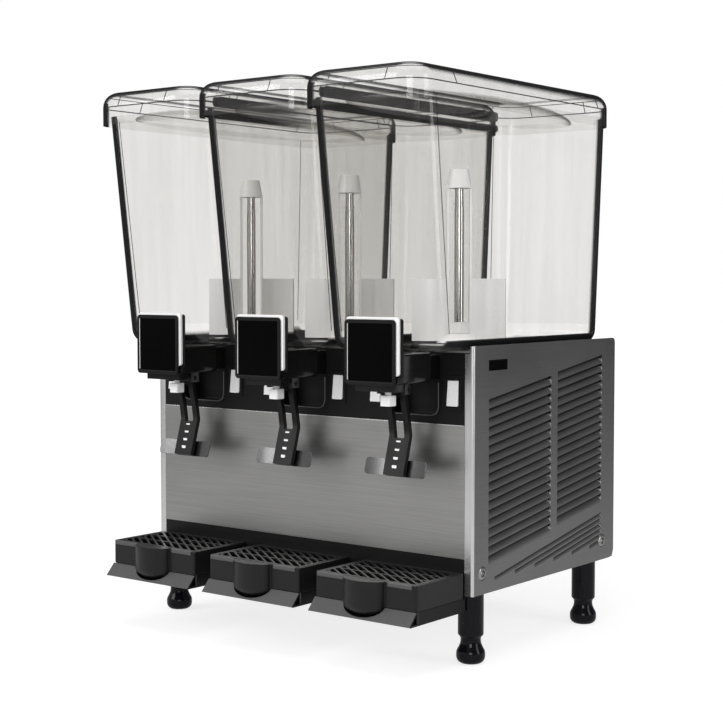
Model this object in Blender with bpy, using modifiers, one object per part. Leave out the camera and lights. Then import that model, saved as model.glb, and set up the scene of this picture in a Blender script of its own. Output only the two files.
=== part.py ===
"""Countertop drink dispenser with three chilled bowls, each with a stirring paddle and a push valve.

Every sub-part is its own named object. Metres, +Z up. The origin is on the counter under the middle of the
machine, -Y is the customer's side and +X is the customer's right. Run it in Blender 4.5.
"""

import math

import bmesh
import bpy
from mathutils import Matrix, Vector

# Overall sizes
PITCH = 0.180  # from one bowl's middle to the next
CABINET_DEPTH = 0.350
OVERHANG = 0.120  # how far the lids reach out in front of the cabinet
LEG_HEIGHT = 0.086  # counter to the underside of the cabinet
CABINET_HEIGHT = 0.305
BOWL_HEIGHT = 0.307
LID_HEIGHT = 0.044

# Fits and sheet
GAP = 0.0003  # between pieces that rest on each other
RUNNING_CLEARANCE = 0.001  # round what turns or slides
SHEET = 0.0015
DECK_SHEET = 0.0025
SIDE_SHEET = 0.002
SIDE_BEND = 0.004  # radius of the side panels' front fold

# Cabinet front, from the top down
FLANGE_WIDTH = 0.0136  # the side panels' folded front edges
RIM_DROP = 0.008  # side panels' top edge above the deck
FASCIA_HEIGHT = 0.0887
KICK_HEIGHT = 0.0447  # open strip below the steel front panel
FASCIA_THICKNESS = 0.004
POCKET_HALF_WIDTH = 0.039
POCKET_DEPTH = 0.026
POCKET_FLOOR_UP = 0.0107  # pocket floor above the fascia's lower edge
POCKET_WALL = 0.003
POCKET_CORNER = 0.010

# Rocker switches
ROCKER_OFFSET = 0.059  # from the bowl's middle
ROCKER_SIZE = (0.0165, 0.032)
ROCKER_UP = 0.0387  # middle above the fascia's lower edge
ROCKER_DEPTH = 0.008
ROCKER_FRAME = (0.027, 0.041)
ROCKER_FRAME_OUT = 0.002
ROCKER_CLEARANCE = 0.0008
ROCKER_LEAN = 0.0016  # how far the pressed end lies behind the middle

# Side louvres
LOUVRE_HEIGHT = 0.0055
LOUVRE_PITCH = 0.0112
LOUVRE_SLOPE = math.radians(8.5)
LOUVRE_FRONT_START = 0.034  # behind the cabinet's front
LOUVRE_FRONT_END = 0.181
LOUVRE_REAR_START = 0.197
LOUVRE_REAR_MARGIN = 0.036  # to the cabinet's back
LOUVRE_TOP_DROP = 0.055
LOUVRE_BOTTOM_UP = 0.058

# Bowl
BOWL_WALL = 0.003
BOWL_SIDE_GAP_FOOT = 0.007  # from the bowl's side to the pitch line
BOWL_SIDE_GAP_RIM = 0.0028
BOWL_OUT_FOOT = 0.0715  # how far the bowl's foot reaches out in front of the cabinet
BOWL_OUT_RIM = 0.1055
BOWL_BACK_FOOT = 0.0245  # from the cabinet's back to the bowl
BOWL_BACK_RIM = 0.0115
BOWL_CORNER = 0.030
BOWL_FOOT_RADIUS = 0.018
FLOOR_LAND = 0.003  # flat floor left beside the evaporator opening
OUTLET_RADIUS = 0.009

# Lid
LID_WALL = 0.0015
LID_SIDE_GAP = 0.0003  # from the lid's side to the pitch line
LID_BACK_GAP = 0.005
LID_OVERLAP = 0.012  # skirt below the bowl's rim
LID_CORNER = 0.036
LID_SHOULDER = 0.018

# Evaporator, its seal and post
STIR_AXIS_BACK = 0.098  # stirring axis behind the cabinet's front
SEAL_WIDTH = 0.0044
SEAL_HEIGHT = 0.005
DOME_HEIGHT = 0.0062
POST_RADIUS = 0.006
POST_TOP_DROP = 0.098  # below the bowl's rim

# Paddle
PADDLE_TURN = math.radians(38)
PADDLE_CAP_RADIUS = 0.015
PADDLE_CAP_HEIGHT = 0.024
PADDLE_CAP_WALL = 0.012
PADDLE_CAP_FLARE = 0.0015
FLARE_RADIUS = 0.030
FLARE_HEIGHT = 0.013
RAIL_OFFSET = 0.0145
RAIL_SIZE = (0.003, 0.008)
COLLAR_HEIGHT = 0.014
BLADE_HEIGHT = 0.080
BLADE_THICKNESS = 0.003
BLADE_BOW = 0.012  # how far each blade curves out of the flat
PADDLE_LIFT = 0.001  # above the evaporator's dome

# Valve, lever and sign, measured out from the cabinet's front and down from the deck
VALVE_HALF_WIDTH = 0.034
VALVE_FRONT = 0.080
VALVE_BACK = 0.012
VALVE_DROP = 0.037
VALVE_CORNER = 0.003
VALVE_TAIL_HALF_WIDTH = 0.030
CHIN_BACK = 0.062
CHIN_DROP = 0.046
PIVOT_OUT = 0.040
PIVOT_DROP = 0.045
PIN_RADIUS = 0.0025
CHEEK_THICKNESS = 0.005
LEVER_WIDTH = 0.031
LEVER_THICKNESS = 0.006
LEVER_WINDOW = 0.015
LEVER_KNEE = (0.027, 0.103)  # out, drop
LEVER_TIP = (0.041, 0.152)
PAD_HALF_WIDTH = 0.046
PAD_HEIGHT = 0.021
PAD_CURL = 0.007
PLUNGER_OUT = 0.053
PLUNGER_SIZE = 0.0145
PLUNGER_DROP = (0.052, 0.065)
PLUNGER_STEM_RADIUS = 0.004
PLUNGER_STEM_LENGTH = 0.020
SIGN_SIZE = (0.080, 0.082)
SIGN_THICKNESS = 0.008
SIGN_RISE = 0.044  # sign's top edge above the deck
SIGN_CORNER = 0.005

# Drip trays
TRAY_SIDE_GAP = 0.013
TRAY_OUT = 0.100
TRAY_TOP_UP = 0.028  # above the cabinet's underside
TRAY_BOTTOM_DOWN = 0.003
TRAY_WALL = 0.0025
TRAY_CORNER = 0.004
WELL_CORNER = 0.003
NOSE_RADIUS = 0.030
NOSE_OUT = 0.017
NOSE_DROP = 0.0125
GRILLE_THICKNESS = 0.003
GRILLE_SLOT = (0.030, 0.0042)
GRILLE_SLOT_PITCH = 0.0095
GRILLE_ROWS = 2
GRILLE_MARGIN = 0.010
GRILLE_SLOT_TURN = math.radians(35)
APRON_OUT = 0.114
APRON_BOTTOM_DOWN = 0.0195
BRACKET_SHEET = 0.0025

# Legs
LEG_RADIUS = 0.016
LEG_SIDE_INSET = 0.018
LEG_FRONT_INSET = 0.021
LEG_BACK_INSET = 0.053

# Facets of the round pieces that fit each other
ROUND_STEPS = 24
LEG_STEPS = 16

# Inside the cabinet
COMPRESSOR_RADIUS = 0.062
COMPRESSOR_HEIGHT = 0.150
FAN_RADIUS = 0.068
FAN_HUB_RADIUS = 0.020
FAN_MOTOR_RADIUS = 0.022
FAN_BLADES = 5
FAN_DEPTH = 0.014
SHROUD_SIZE = 0.160
SHROUD_DEPTH = 0.026
CONDENSER_SIZE = (0.160, 0.034, 0.160)
STIR_MOTOR_RADIUS = 0.025
STIR_MOTOR_HEIGHT = 0.042
INLET_SIZE = (0.032, 0.024, 0.028)

# Worked out from the sizes above
MODULES = ("left", "middle", "right")
CABINET_WIDTH = PITCH * len(MODULES)
HALF_WIDTH = CABINET_WIDTH / 2
FRONT = OVERHANG - (CABINET_DEPTH + OVERHANG) / 2
BACK = FRONT + CABINET_DEPTH
TOP = LEG_HEIGHT + CABINET_HEIGHT
DECK = TOP - RIM_DROP
FASCIA_BOTTOM = DECK - FASCIA_HEIGHT
PANEL_BOTTOM = LEG_HEIGHT + KICK_HEIGHT
PANEL_HALF_WIDTH = HALF_WIDTH - FLANGE_WIDTH - GAP
INSIDE_HALF_WIDTH = HALF_WIDTH - SIDE_SHEET - GAP
LEDGE_BACK = FRONT + POCKET_DEPTH + POCKET_WALL
BOWL_FOOT = DECK + GAP
BOWL_RIM = BOWL_FOOT + BOWL_HEIGHT
BOWL_HALF_FOOT = PITCH / 2 - BOWL_SIDE_GAP_FOOT
STIR_Y = FRONT + STIR_AXIS_BACK
OPENING_RADIUS = BOWL_HALF_FOOT - BOWL_FOOT_RADIUS - FLOOR_LAND
DOME_RADIUS = OPENING_RADIUS - SEAL_WIDTH - 2 * GAP
DOME_TOP = DECK + GAP + DOME_HEIGHT
POST_TOP = BOWL_RIM - POST_TOP_DROP
PADDLE_FOOT = DOME_TOP + PADDLE_LIFT
BLADE_REACH = OPENING_RADIUS - 2 * RUNNING_CLEARANCE
PIVOT = Vector((0, FRONT - PIVOT_OUT, DECK - PIVOT_DROP))
TRAY_TOP = LEG_HEIGHT + TRAY_TOP_UP
TRAY_BOTTOM = LEG_HEIGHT - TRAY_BOTTOM_DOWN
TRAY_HALF_WIDTH = PITCH / 2 - TRAY_SIDE_GAP
FAN_X = HALF_WIDTH - 0.120
FAN_Z = LEG_HEIGHT + 0.110
FAN_Y = BACK - 0.024

PARTS = None
CUTTERS = None
MATERIALS = {}


def start_scene():
    """Empties the scene and makes the two collections."""
    global PARTS, CUTTERS
    for obj in list(bpy.data.objects):
        bpy.data.objects.remove(obj)
    PARTS = bpy.data.collections.new("drink_dispenser")
    CUTTERS = bpy.data.collections.new("cutters")
    for collection in (PARTS, CUTTERS):
        bpy.context.scene.collection.children.link(collection)


def material(name, colour, roughness, metallic=0.0, alpha=1.0):
    """A named Principled material, made once."""
    if name not in MATERIALS:
        made = bpy.data.materials.new(name)
        made.use_nodes = True
        shader = made.node_tree.nodes["Principled BSDF"]
        shader.inputs["Base Color"].default_value = (*colour, 1.0)
        shader.inputs["Roughness"].default_value = roughness
        shader.inputs["Metallic"].default_value = metallic
        shader.inputs["Alpha"].default_value = alpha
        MATERIALS[name] = made
    return MATERIALS[name]


def own_material(node, finish):
    """Each sub-part has a material of its own, in one of a few finishes."""
    finishes = {
        "brushed_steel": ((0.42, 0.42, 0.43), 0.35, 1.0, 1.0),
        "galvanised_steel": ((0.55, 0.56, 0.57), 0.45, 1.0, 1.0),
        "black_plastic": ((0.018, 0.018, 0.019), 0.4, 0.0, 1.0),
        "apron_plastic": ((0.07, 0.07, 0.072), 0.45, 0.0, 1.0),
        "white_plastic": ((0.74, 0.74, 0.74), 0.35, 0.0, 1.0),
        "clear_plastic": ((0.9, 0.89, 0.87), 0.05, 0.0, 0.3),
        "black_enamel": ((0.012, 0.012, 0.016), 0.12, 0.0, 1.0),
        "rubber": ((0.03, 0.03, 0.03), 0.8, 0.0, 1.0),
        "copper_fins": ((0.5, 0.42, 0.36), 0.5, 1.0, 1.0),
    }
    return material(f"{node}_{finish}", *finishes[finish])


def mesh_object(name, mesh, collection=None):
    """A new object of this mesh, in the cutters collection unless told otherwise."""
    obj = bpy.data.objects.new(name, mesh)
    (collection or CUTTERS).objects.link(obj)
    if collection is None:
        obj.hide_render = True
        obj.display_type = "WIRE"
    return obj


def from_bmesh(name, bm):
    """A working object from a bmesh."""
    mesh = bpy.data.meshes.new(name)
    bm.to_mesh(mesh)
    bm.free()
    return mesh_object(name, mesh)


def box(name, low, high, radius=0.0, segments=2, edges=None):
    """A box between two corners. edges picks the edges to round by direction: X, Y, Z or None for all."""
    bm = bmesh.new()
    bmesh.ops.create_cube(bm, size=1.0)
    low, high = Vector(low), Vector(high)
    size = high - low
    for vert in bm.verts:
        vert.co = Vector(low[i] + (vert.co[i] + 0.5) * size[i] for i in range(3))
    if radius > 0:
        axis = {"X": 0, "Y": 1, "Z": 2}.get(edges)
        chosen = [e for e in bm.edges if axis is None or abs((e.verts[0].co - e.verts[1].co)[axis]) > 1e-6]
        bmesh.ops.bevel(bm, geom=chosen, offset=radius, segments=segments, profile=0.5, affect="EDGES")
    return from_bmesh(name, bm)


def cylinder(name, radius, length, centre, axis="Z", steps=20, radius_end=None):
    """A cylinder or cone of that length, centred on a point, along an axis."""
    bm = bmesh.new()
    turn = {"X": Matrix.Rotation(math.pi / 2, 4, "Y"), "Y": Matrix.Rotation(-math.pi / 2, 4, "X")}
    bmesh.ops.create_cone(
        bm,
        cap_ends=True,
        segments=steps,
        radius1=radius,
        radius2=radius if radius_end is None else radius_end,
        depth=length,
        matrix=Matrix.Translation(centre) @ turn.get(axis, Matrix.Identity(4)),
    )
    return from_bmesh(name, bm)


def baked(obj):
    """The same object with its modifiers worked into its mesh."""
    depsgraph = bpy.context.evaluated_depsgraph_get()
    mesh = bpy.data.meshes.new_from_object(obj.evaluated_get(depsgraph))
    obj.modifiers.clear()
    obj.data = mesh
    return obj


def turned(name, profile, steps=24, centre=(0, 0, 0), squeeze=1.0):
    """A turned solid: profile is (radius, height) from the top centre, down the outside, to the foot."""
    mesh = bpy.data.meshes.new(name)
    edges = [(i, i + 1) for i in range(len(profile) - 1)]
    mesh.from_pydata([(r, 0, z) for r, z in profile], edges, [])
    obj = mesh_object(name, mesh)
    screw = obj.modifiers.new("turn", "SCREW")
    screw.steps = steps
    screw.render_steps = steps
    screw.use_merge_vertices = True
    screw.merge_threshold = 0.00001
    baked(obj)
    obj.data.transform(Matrix.Translation(centre) @ Matrix.Diagonal((1, squeeze, 1, 1)))
    return obj


def bent_sheet(name, path, low_x, high_x, thickness, plan=False):
    """A folded sheet. path is (y, z) run along X or, in plan, (x, y) run up Z. It thickens to the left."""
    bm = bmesh.new()
    rows = []
    for end in (low_x, high_x):
        rows.append([bm.verts.new((a, b, end) if plan else (end, a, b)) for a, b in path])
    for i in range(len(path) - 1):
        bm.faces.new((rows[0][i], rows[0][i + 1], rows[1][i + 1], rows[1][i]))
    obj = from_bmesh(name, bm)
    solid = obj.modifiers.new("sheet", "SOLIDIFY")
    solid.thickness = thickness
    solid.offset = -1.0
    solid.use_even_offset = True
    baked(obj)
    bm = bmesh.new()
    bm.from_mesh(obj.data)
    bmesh.ops.recalc_face_normals(bm, faces=bm.faces)
    bm.to_mesh(obj.data)
    bm.free()
    return obj


def combine(obj, others, operation):
    """Boolean with each of the others, worked into obj's mesh."""
    for other in others:
        modifier = obj.modifiers.new(operation.lower(), "BOOLEAN")
        modifier.operation = operation
        modifier.solver = "EXACT"
        modifier.object = other
    return baked(obj)


def cut(obj, *cutters):
    """obj without the cutters."""
    return combine(obj, cutters, "DIFFERENCE")


def join(obj, *others):
    """obj and the others as one closed body."""
    return combine(obj, others, "UNION")


def joined_bodies(name, objects):
    """One cutter made of several bodies that don't touch."""
    bm = bmesh.new()
    for obj in objects:
        bm.from_mesh(obj.data)
    return from_bmesh(name, bm)


def turn_about(obj, angle, axis, centre):
    """Turns the mesh about a line through centre."""
    move = Matrix.Translation(centre)
    obj.data.transform(move @ Matrix.Rotation(angle, 4, axis) @ move.inverted())
    return obj


def part(name, shape, finish, origin=(0, 0, 0), parent=None, shift_x=0.0, smooth=True):
    """A named sub-part from a working shape, with its own origin. shift_x carries it to its bowl."""
    shape.name = f"working_{name}"
    mesh = shape.data.copy()
    mesh.name = name
    origin = Vector(origin)
    mesh.transform(Matrix.Translation(-origin))
    if smooth:
        mesh.shade_smooth()
        mesh.set_sharp_from_angle(angle=math.radians(30))
    mesh.materials.clear()
    mesh.materials.append(own_material(name, finish))
    obj = mesh_object(name, mesh, PARTS)
    obj.location = origin + Vector((shift_x, 0, 0))
    if parent is not None:
        obj.parent = parent
    return obj


def arc(centre_a, centre_b, radius, start, end, steps):
    """Points along an arc in a plane, angles in degrees."""
    angles = [math.radians(start + (end - start) * i / steps) for i in range(steps + 1)]
    return [(centre_a + radius * math.cos(t), centre_b + radius * math.sin(t)) for t in angles]


def tapered_tub(name, foot, rim, corner, edge_radius, open_top):
    """A rounded box, open at one end, with a foot and a rim of (half_x, low_y, high_y, z)."""
    bm = bmesh.new()
    bmesh.ops.create_cube(bm, size=2.0)
    for vert in bm.verts:
        half_x, low_y, high_y, z = rim if vert.co.z > 0 else foot
        vert.co = Vector((half_x * vert.co.x, high_y if vert.co.y > 0 else low_y, z))
    upright = [e for e in bm.edges if abs(e.verts[0].co.z - e.verts[1].co.z) > 1e-6]
    bmesh.ops.bevel(bm, geom=upright, offset=corner, segments=3, profile=0.5, affect="EDGES")
    closed_z, open_z = (foot[3], rim[3]) if open_top else (rim[3], foot[3])
    ring = [e for e in bm.edges if all(abs(v.co.z - closed_z) < 1e-6 for v in e.verts)]
    bmesh.ops.bevel(bm, geom=ring, offset=edge_radius, segments=2, profile=0.5, affect="EDGES")
    mouth = [f for f in bm.faces if all(abs(v.co.z - open_z) < 1e-6 for v in f.verts)]
    bmesh.ops.delete(bm, geom=mouth, context="FACES")
    return from_bmesh(name, bm)


def walled(obj, wall):
    """Gives an open surface an inward wall."""
    solid = obj.modifiers.new("wall", "SOLIDIFY")
    solid.thickness = wall
    solid.offset = -1.0
    solid.use_even_offset = True
    return baked(obj)


def side_panel(sign):
    """Side sheet with a folded front edge and sloping louvre slots. sign is +1 on the customer's right."""
    outer = HALF_WIDTH
    corner = arc(outer - SIDE_BEND, FRONT + SIDE_BEND, SIDE_BEND, -90, 0, 3)
    path = [(outer - FLANGE_WIDTH, FRONT), *corner, (outer, BACK)]
    panel = bent_sheet("side_panel", path, LEG_HEIGHT, TOP, SIDE_SHEET, plan=True)
    columns = (
        (FRONT + LOUVRE_FRONT_START, FRONT + LOUVRE_FRONT_END),
        (FRONT + LOUVRE_REAR_START, BACK - LOUVRE_REAR_MARGIN),
    )
    slots = []
    first_y = columns[0][0]
    for low_y, high_y in columns:
        middle_y = (low_y + high_y) / 2
        z = TOP - LOUVRE_TOP_DROP + (middle_y - first_y) * math.tan(LOUVRE_SLOPE)
        while z > LEG_HEIGHT + LOUVRE_BOTTOM_UP - (high_y - first_y) * 0.05:
            low = (outer - 2 * SIDE_SHEET, low_y, z - LOUVRE_HEIGHT / 2)
            high = (outer + SIDE_SHEET, high_y, z + LOUVRE_HEIGHT / 2)
            slot = box("louvre_slot", low, high)
            slots.append(turn_about(slot, LOUVRE_SLOPE, "X", (outer, middle_y, z)))
            z -= LOUVRE_PITCH
    low = (outer - 2 * FLANGE_WIDTH, FRONT - 0.01, DECK - RUNNING_CLEARANCE)
    high = (outer - BOWL_SIDE_GAP_FOOT + RUNNING_CLEARANCE, FRONT + 2 * SIDE_BEND, TOP + 0.01)
    slots.append(box("bowl_relief", low, high))
    cut(panel, joined_bodies("side_cuts", slots))
    if sign < 0:
        panel.data.transform(Matrix.Diagonal((-1, 1, 1, 1)))
        panel.data.flip_normals()
    return panel


def fascia():
    """Black front moulding: plate, rear ledge, a pocket behind each valve and a frame round each rocker."""
    plate = box(
        "fascia",
        (-PANEL_HALF_WIDTH, FRONT, FASCIA_BOTTOM + GAP),
        (PANEL_HALF_WIDTH, FRONT + FASCIA_THICKNESS, DECK),
    )
    ledge_front = FRONT + SIDE_SHEET + GAP
    ledge_half = HALF_WIDTH - SIDE_BEND - GAP
    low = (-ledge_half, ledge_front, DECK - POCKET_WALL)
    ledge = box("fascia_ledge", low, (ledge_half, LEDGE_BACK, DECK))
    additions, holes = [ledge], []
    floor = FASCIA_BOTTOM + POCKET_FLOOR_UP
    for x in bowl_centres():
        half = POCKET_HALF_WIDTH + POCKET_WALL
        low = (x - half, FRONT + GAP, floor - POCKET_WALL)
        liner = box("pocket_liner", low, (x + half, LEDGE_BACK, DECK - GAP))
        additions.append(liner)
        low = (x - POCKET_HALF_WIDTH, FRONT - 0.01, floor)
        high = (x + POCKET_HALF_WIDTH, FRONT + POCKET_DEPTH, DECK + 0.05)
        holes.append(box("pocket", low, high, POCKET_CORNER, 3, "Y"))
        for side in (-1, 1):
            middle = Vector((x + side * ROCKER_OFFSET, FRONT, FASCIA_BOTTOM + ROCKER_UP))
            frame_half = Vector((ROCKER_FRAME[0] / 2, 0, ROCKER_FRAME[1] / 2))
            low = middle - frame_half - Vector((0, ROCKER_FRAME_OUT, 0))
            additions.append(box("rocker_frame", low, middle + frame_half + Vector((0, 0.003, 0))))
            hole_half = Vector((ROCKER_SIZE[0] / 2, 0, ROCKER_SIZE[1] / 2))
            hole_half += Vector((ROCKER_CLEARANCE, 0, ROCKER_CLEARANCE))
            low = middle - hole_half - Vector((0, 0.01, 0))
            holes.append(box("rocker_hole", low, middle + hole_half + Vector((0, 0.02, 0))))
    join(plate, *additions)
    return cut(plate, joined_bodies("fascia_holes", holes))


def bowl_centres():
    """X of each bowl's middle, from the customer's left."""
    return [(i - (len(MODULES) - 1) / 2) * PITCH for i in range(len(MODULES))]


def rocker():
    """Rocker key, modelled with its upper half pressed in, about its own middle."""
    half_x, half_z = ROCKER_SIZE[0] / 2, ROCKER_SIZE[1] / 2
    middle = (0, FRONT, FASCIA_BOTTOM + ROCKER_UP)
    low = (-half_x, FRONT - ROCKER_FRAME_OUT, middle[2] - half_z)
    high = (half_x, FRONT - ROCKER_FRAME_OUT + ROCKER_DEPTH, middle[2] + half_z)
    key = box("rocker", low, high)
    for vert in key.data.vertices:
        if vert.co.y < FRONT:
            share = (vert.co.z - middle[2]) / half_z
            vert.co.y += ROCKER_LEAN * share
        else:
            vert.co.z = middle[2] + (vert.co.z - middle[2]) * 0.8
    return key


def bowl():
    """Clear bowl with drafted walls, a round opening over the evaporator and an outlet to the valve."""
    foot = (BOWL_HALF_FOOT, FRONT - BOWL_OUT_FOOT, BACK - BOWL_BACK_FOOT, BOWL_FOOT)
    rim = (PITCH / 2 - BOWL_SIDE_GAP_RIM, FRONT - BOWL_OUT_RIM, BACK - BOWL_BACK_RIM, BOWL_RIM)
    tub = walled(tapered_tub("bowl", foot, rim, BOWL_CORNER, BOWL_FOOT_RADIUS, True), BOWL_WALL)
    opening = cylinder("evaporator_opening", OPENING_RADIUS, 0.04, (0, STIR_Y, BOWL_FOOT), steps=ROUND_STEPS)
    outlet_y = FRONT - PIVOT_OUT + OUTLET_RADIUS / 2
    outlet = cylinder("outlet", OUTLET_RADIUS, 0.04, (0, outlet_y, BOWL_FOOT), steps=12)
    return cut(tub, opening, outlet)


def lid():
    """Clear lid: a shallow tray turned over, its skirt outside the bowl's rim."""
    half_x = PITCH / 2 - LID_SIDE_GAP
    skirt = (half_x, FRONT - OVERHANG, BACK - LID_BACK_GAP, BOWL_RIM - LID_OVERLAP)
    crown = (*skirt[:3], BOWL_RIM - LID_OVERLAP + LID_HEIGHT)
    return walled(tapered_tub("lid", skirt, crown, LID_CORNER, LID_SHOULDER, False), LID_WALL)


def evaporator():
    """Chilled dome with the post that carries the paddle, one turned piece."""
    foot = DECK + GAP
    profile = [
        (0, POST_TOP),
        (POST_RADIUS, POST_TOP),
        (POST_RADIUS, DOME_TOP),
        (DOME_RADIUS * 0.9, DOME_TOP),
        (DOME_RADIUS, DOME_TOP - DOME_RADIUS * 0.04),
        (DOME_RADIUS, foot),
        (0, foot),
    ]
    return turned("evaporator", profile, ROUND_STEPS, (0, STIR_Y, 0))


def bowl_seal():
    """Rubber ring between the evaporator and the bowl's opening."""
    inner, outer = DOME_RADIUS + GAP, OPENING_RADIUS - GAP
    foot = DECK + GAP
    profile = [
        (inner, foot + SEAL_HEIGHT),
        (outer, foot + SEAL_HEIGHT),
        (outer, foot),
        (inner, foot),
        (inner, foot + SEAL_HEIGHT),
    ]
    return turned("bowl_seal", profile, ROUND_STEPS, (0, STIR_Y, 0))


def blade(side):
    """One curved blade reaching out from its rail, as a bowed sheet."""
    inner = RAIL_OFFSET - RAIL_SIZE[0] / 4
    steps = 5
    path = []
    for i in range(steps + 1):
        share = i / steps
        x = inner + (BLADE_REACH - inner) * math.cos(math.radians(8)) * share
        path.append((side * x, STIR_Y + side * BLADE_BOW * math.sin(math.pi * share) * 0.6))
    foot = PADDLE_FOOT + 0.002
    return bent_sheet("blade", path, foot, foot + BLADE_HEIGHT, BLADE_THICKNESS, plan=True)


def paddle():
    """Stirring paddle that hangs on the post: cap, two rails, collar, flared foot and two blades."""
    bore = POST_RADIUS + RUNNING_CLEARANCE
    collar_top = PADDLE_FOOT + 0.012 + COLLAR_HEIGHT
    cap_foot = POST_TOP - 0.004
    axis = (0, STIR_Y)
    cap_middle = (*axis, cap_foot + PADDLE_CAP_HEIGHT / 2)
    skirt = PADDLE_CAP_RADIUS + PADDLE_CAP_FLARE
    cap = cylinder("cap", skirt, PADDLE_CAP_HEIGHT, cap_middle, steps=16, radius_end=PADDLE_CAP_WALL)
    cap_bore = cylinder("cap_bore", bore, 0.03, (*axis, POST_TOP + RUNNING_CLEARANCE - 0.015), steps=16)
    collar_middle = (*axis, collar_top - COLLAR_HEIGHT / 2)
    collar = cylinder("collar", PADDLE_CAP_RADIUS, COLLAR_HEIGHT, collar_middle, steps=16)
    flare_middle = (*axis, PADDLE_FOOT + FLARE_HEIGHT / 2)
    flare = cylinder("flare", FLARE_RADIUS, FLARE_HEIGHT, flare_middle, steps=16, radius_end=PADDLE_CAP_WALL)
    foot_bore = cylinder("foot_bore", bore, 0.08, (*axis, PADDLE_FOOT + 0.01), steps=16)
    rails = []
    for side in (-1, 1):
        x = side * RAIL_OFFSET
        low = (x - RAIL_SIZE[0] / 2, STIR_Y - RAIL_SIZE[1] / 2, PADDLE_FOOT + 0.016)
        high = (x + RAIL_SIZE[0] / 2, STIR_Y + RAIL_SIZE[1] / 2, cap_foot + 0.004)
        rails.append(box("rail", low, high))
    join(cap, collar, flare, *rails, blade(-1), blade(1))
    cut(cap, cap_bore, foot_bore)
    return turn_about(cap, PADDLE_TURN, "Z", (0, STIR_Y, 0))


def valve_body():
    """Black valve block under the bowl's nose: block, tail in the fascia's pocket, chin and lever cheeks."""
    top = DECK - GAP
    low = (-VALVE_HALF_WIDTH, FRONT - VALVE_FRONT, DECK - VALVE_DROP)
    block = box("valve_body", low, (VALVE_HALF_WIDTH, FRONT - VALVE_BACK, top), VALVE_CORNER, 2, "Y")
    tail_back = FRONT + POCKET_DEPTH - 2 * RUNNING_CLEARANCE
    low = (-VALVE_TAIL_HALF_WIDTH, FRONT - VALVE_BACK - 0.005, DECK - VALVE_DROP + 0.003)
    tail = box("tail", low, (VALVE_TAIL_HALF_WIDTH, tail_back, top - 0.004))
    low = (-VALVE_TAIL_HALF_WIDTH, FRONT - VALVE_FRONT + GAP, DECK - CHIN_DROP)
    chin = box("chin", low, (VALVE_TAIL_HALF_WIDTH, FRONT - CHIN_BACK, DECK - VALVE_DROP + 0.004))
    cheeks = []
    inner = LEVER_WIDTH / 2 + RUNNING_CLEARANCE
    for side in (-1, 1):
        xs = sorted((side * inner, side * (inner + CHEEK_THICKNESS)))
        low = (xs[0], PIVOT.y - 0.008, PIVOT.z - 0.006)
        cheeks.append(box("cheek", low, (xs[1], PIVOT.y + 0.008, DECK - VALVE_DROP + 0.004)))
    join(block, tail, chin, *cheeks)
    pin_hole = cylinder("pin_hole", PIN_RADIUS + GAP, 0.08, PIVOT, "X", 12)
    stem_y = FRONT - PLUNGER_OUT
    depth = PLUNGER_DROP[0] - VALVE_DROP
    bore_top = DECK - PLUNGER_DROP[0] + PLUNGER_STEM_LENGTH + 0.006
    bore_low = DECK - VALVE_DROP - depth
    centre = (0, stem_y, (bore_top + bore_low) / 2)
    bore_radius = PLUNGER_STEM_RADIUS + RUNNING_CLEARANCE / 2
    bore = cylinder("stem_bore", bore_radius, bore_top - bore_low, centre, steps=12)
    return cut(block, pin_hole, bore)


def valve_plunger():
    """White outlet plug on a stem that runs in the valve block."""
    half = PLUNGER_SIZE / 2
    y = FRONT - PLUNGER_OUT
    top = DECK - PLUNGER_DROP[0]
    low = (-half, y - half, DECK - PLUNGER_DROP[1])
    plug = box("valve_plunger", low, (half, y + half, top), 0.0015, 2, "Z")
    length = PLUNGER_STEM_LENGTH + 0.004
    stem = cylinder("stem", PLUNGER_STEM_RADIUS, length, (0, y, top - 0.004 + length / 2), steps=12)
    return join(plug, stem)


def lever():
    """Push lever: two rails with a plate across their lower half, and its pivot pin."""
    path = [
        (PIVOT.y, PIVOT.z + 0.004),
        (FRONT - LEVER_KNEE[0] - 0.003, DECK - LEVER_KNEE[1] + 0.020),
        (FRONT - LEVER_KNEE[0], DECK - LEVER_KNEE[1]),
        (FRONT - LEVER_TIP[0], DECK - LEVER_TIP[1]),
    ]
    half = LEVER_WIDTH / 2
    shift = LEVER_THICKNESS / 2
    arm = bent_sheet("lever", [(y + shift, z) for y, z in path], -half, half, -LEVER_THICKNESS)
    window_low = DECK - LEVER_KNEE[1] - 0.003
    low = (-LEVER_WINDOW / 2, FRONT - 0.1, window_low)
    window = box("window", low, (LEVER_WINDOW / 2, FRONT, PIVOT.z - 0.010), 0.002, 2, "Y")
    cut(arm, window)
    pin_length = LEVER_WIDTH + 2 * (RUNNING_CLEARANCE + CHEEK_THICKNESS)
    boss = cylinder("boss", LEVER_THICKNESS * 0.8, LEVER_WIDTH, PIVOT, "X", 12)
    pin = cylinder("pin", PIN_RADIUS, pin_length, PIVOT, "X", 12)
    return join(arm, boss, pin)


def lever_pad():
    """Curved steel plate behind the lever's tip, which the cup pushes."""
    centre_y = FRONT - LEVER_TIP[0] + LEVER_THICKNESS / 2 + 2 * GAP + SHEET
    low = DECK - LEVER_TIP[1] - 0.001
    radius = (PAD_HALF_WIDTH**2 + PAD_CURL**2) / (2 * PAD_CURL)
    reach = math.degrees(math.asin(PAD_HALF_WIDTH / radius))
    path = arc(0, centre_y - radius, radius, 90 + reach, 90 - reach, 8)
    lean = math.atan2(LEVER_TIP[0] - LEVER_KNEE[0], LEVER_TIP[1] - LEVER_KNEE[1])
    pad = bent_sheet("lever_pad", path, low, low + PAD_HEIGHT, SHEET, plan=True)
    return turn_about(pad, -lean, "X", (0, centre_y, low))


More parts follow.
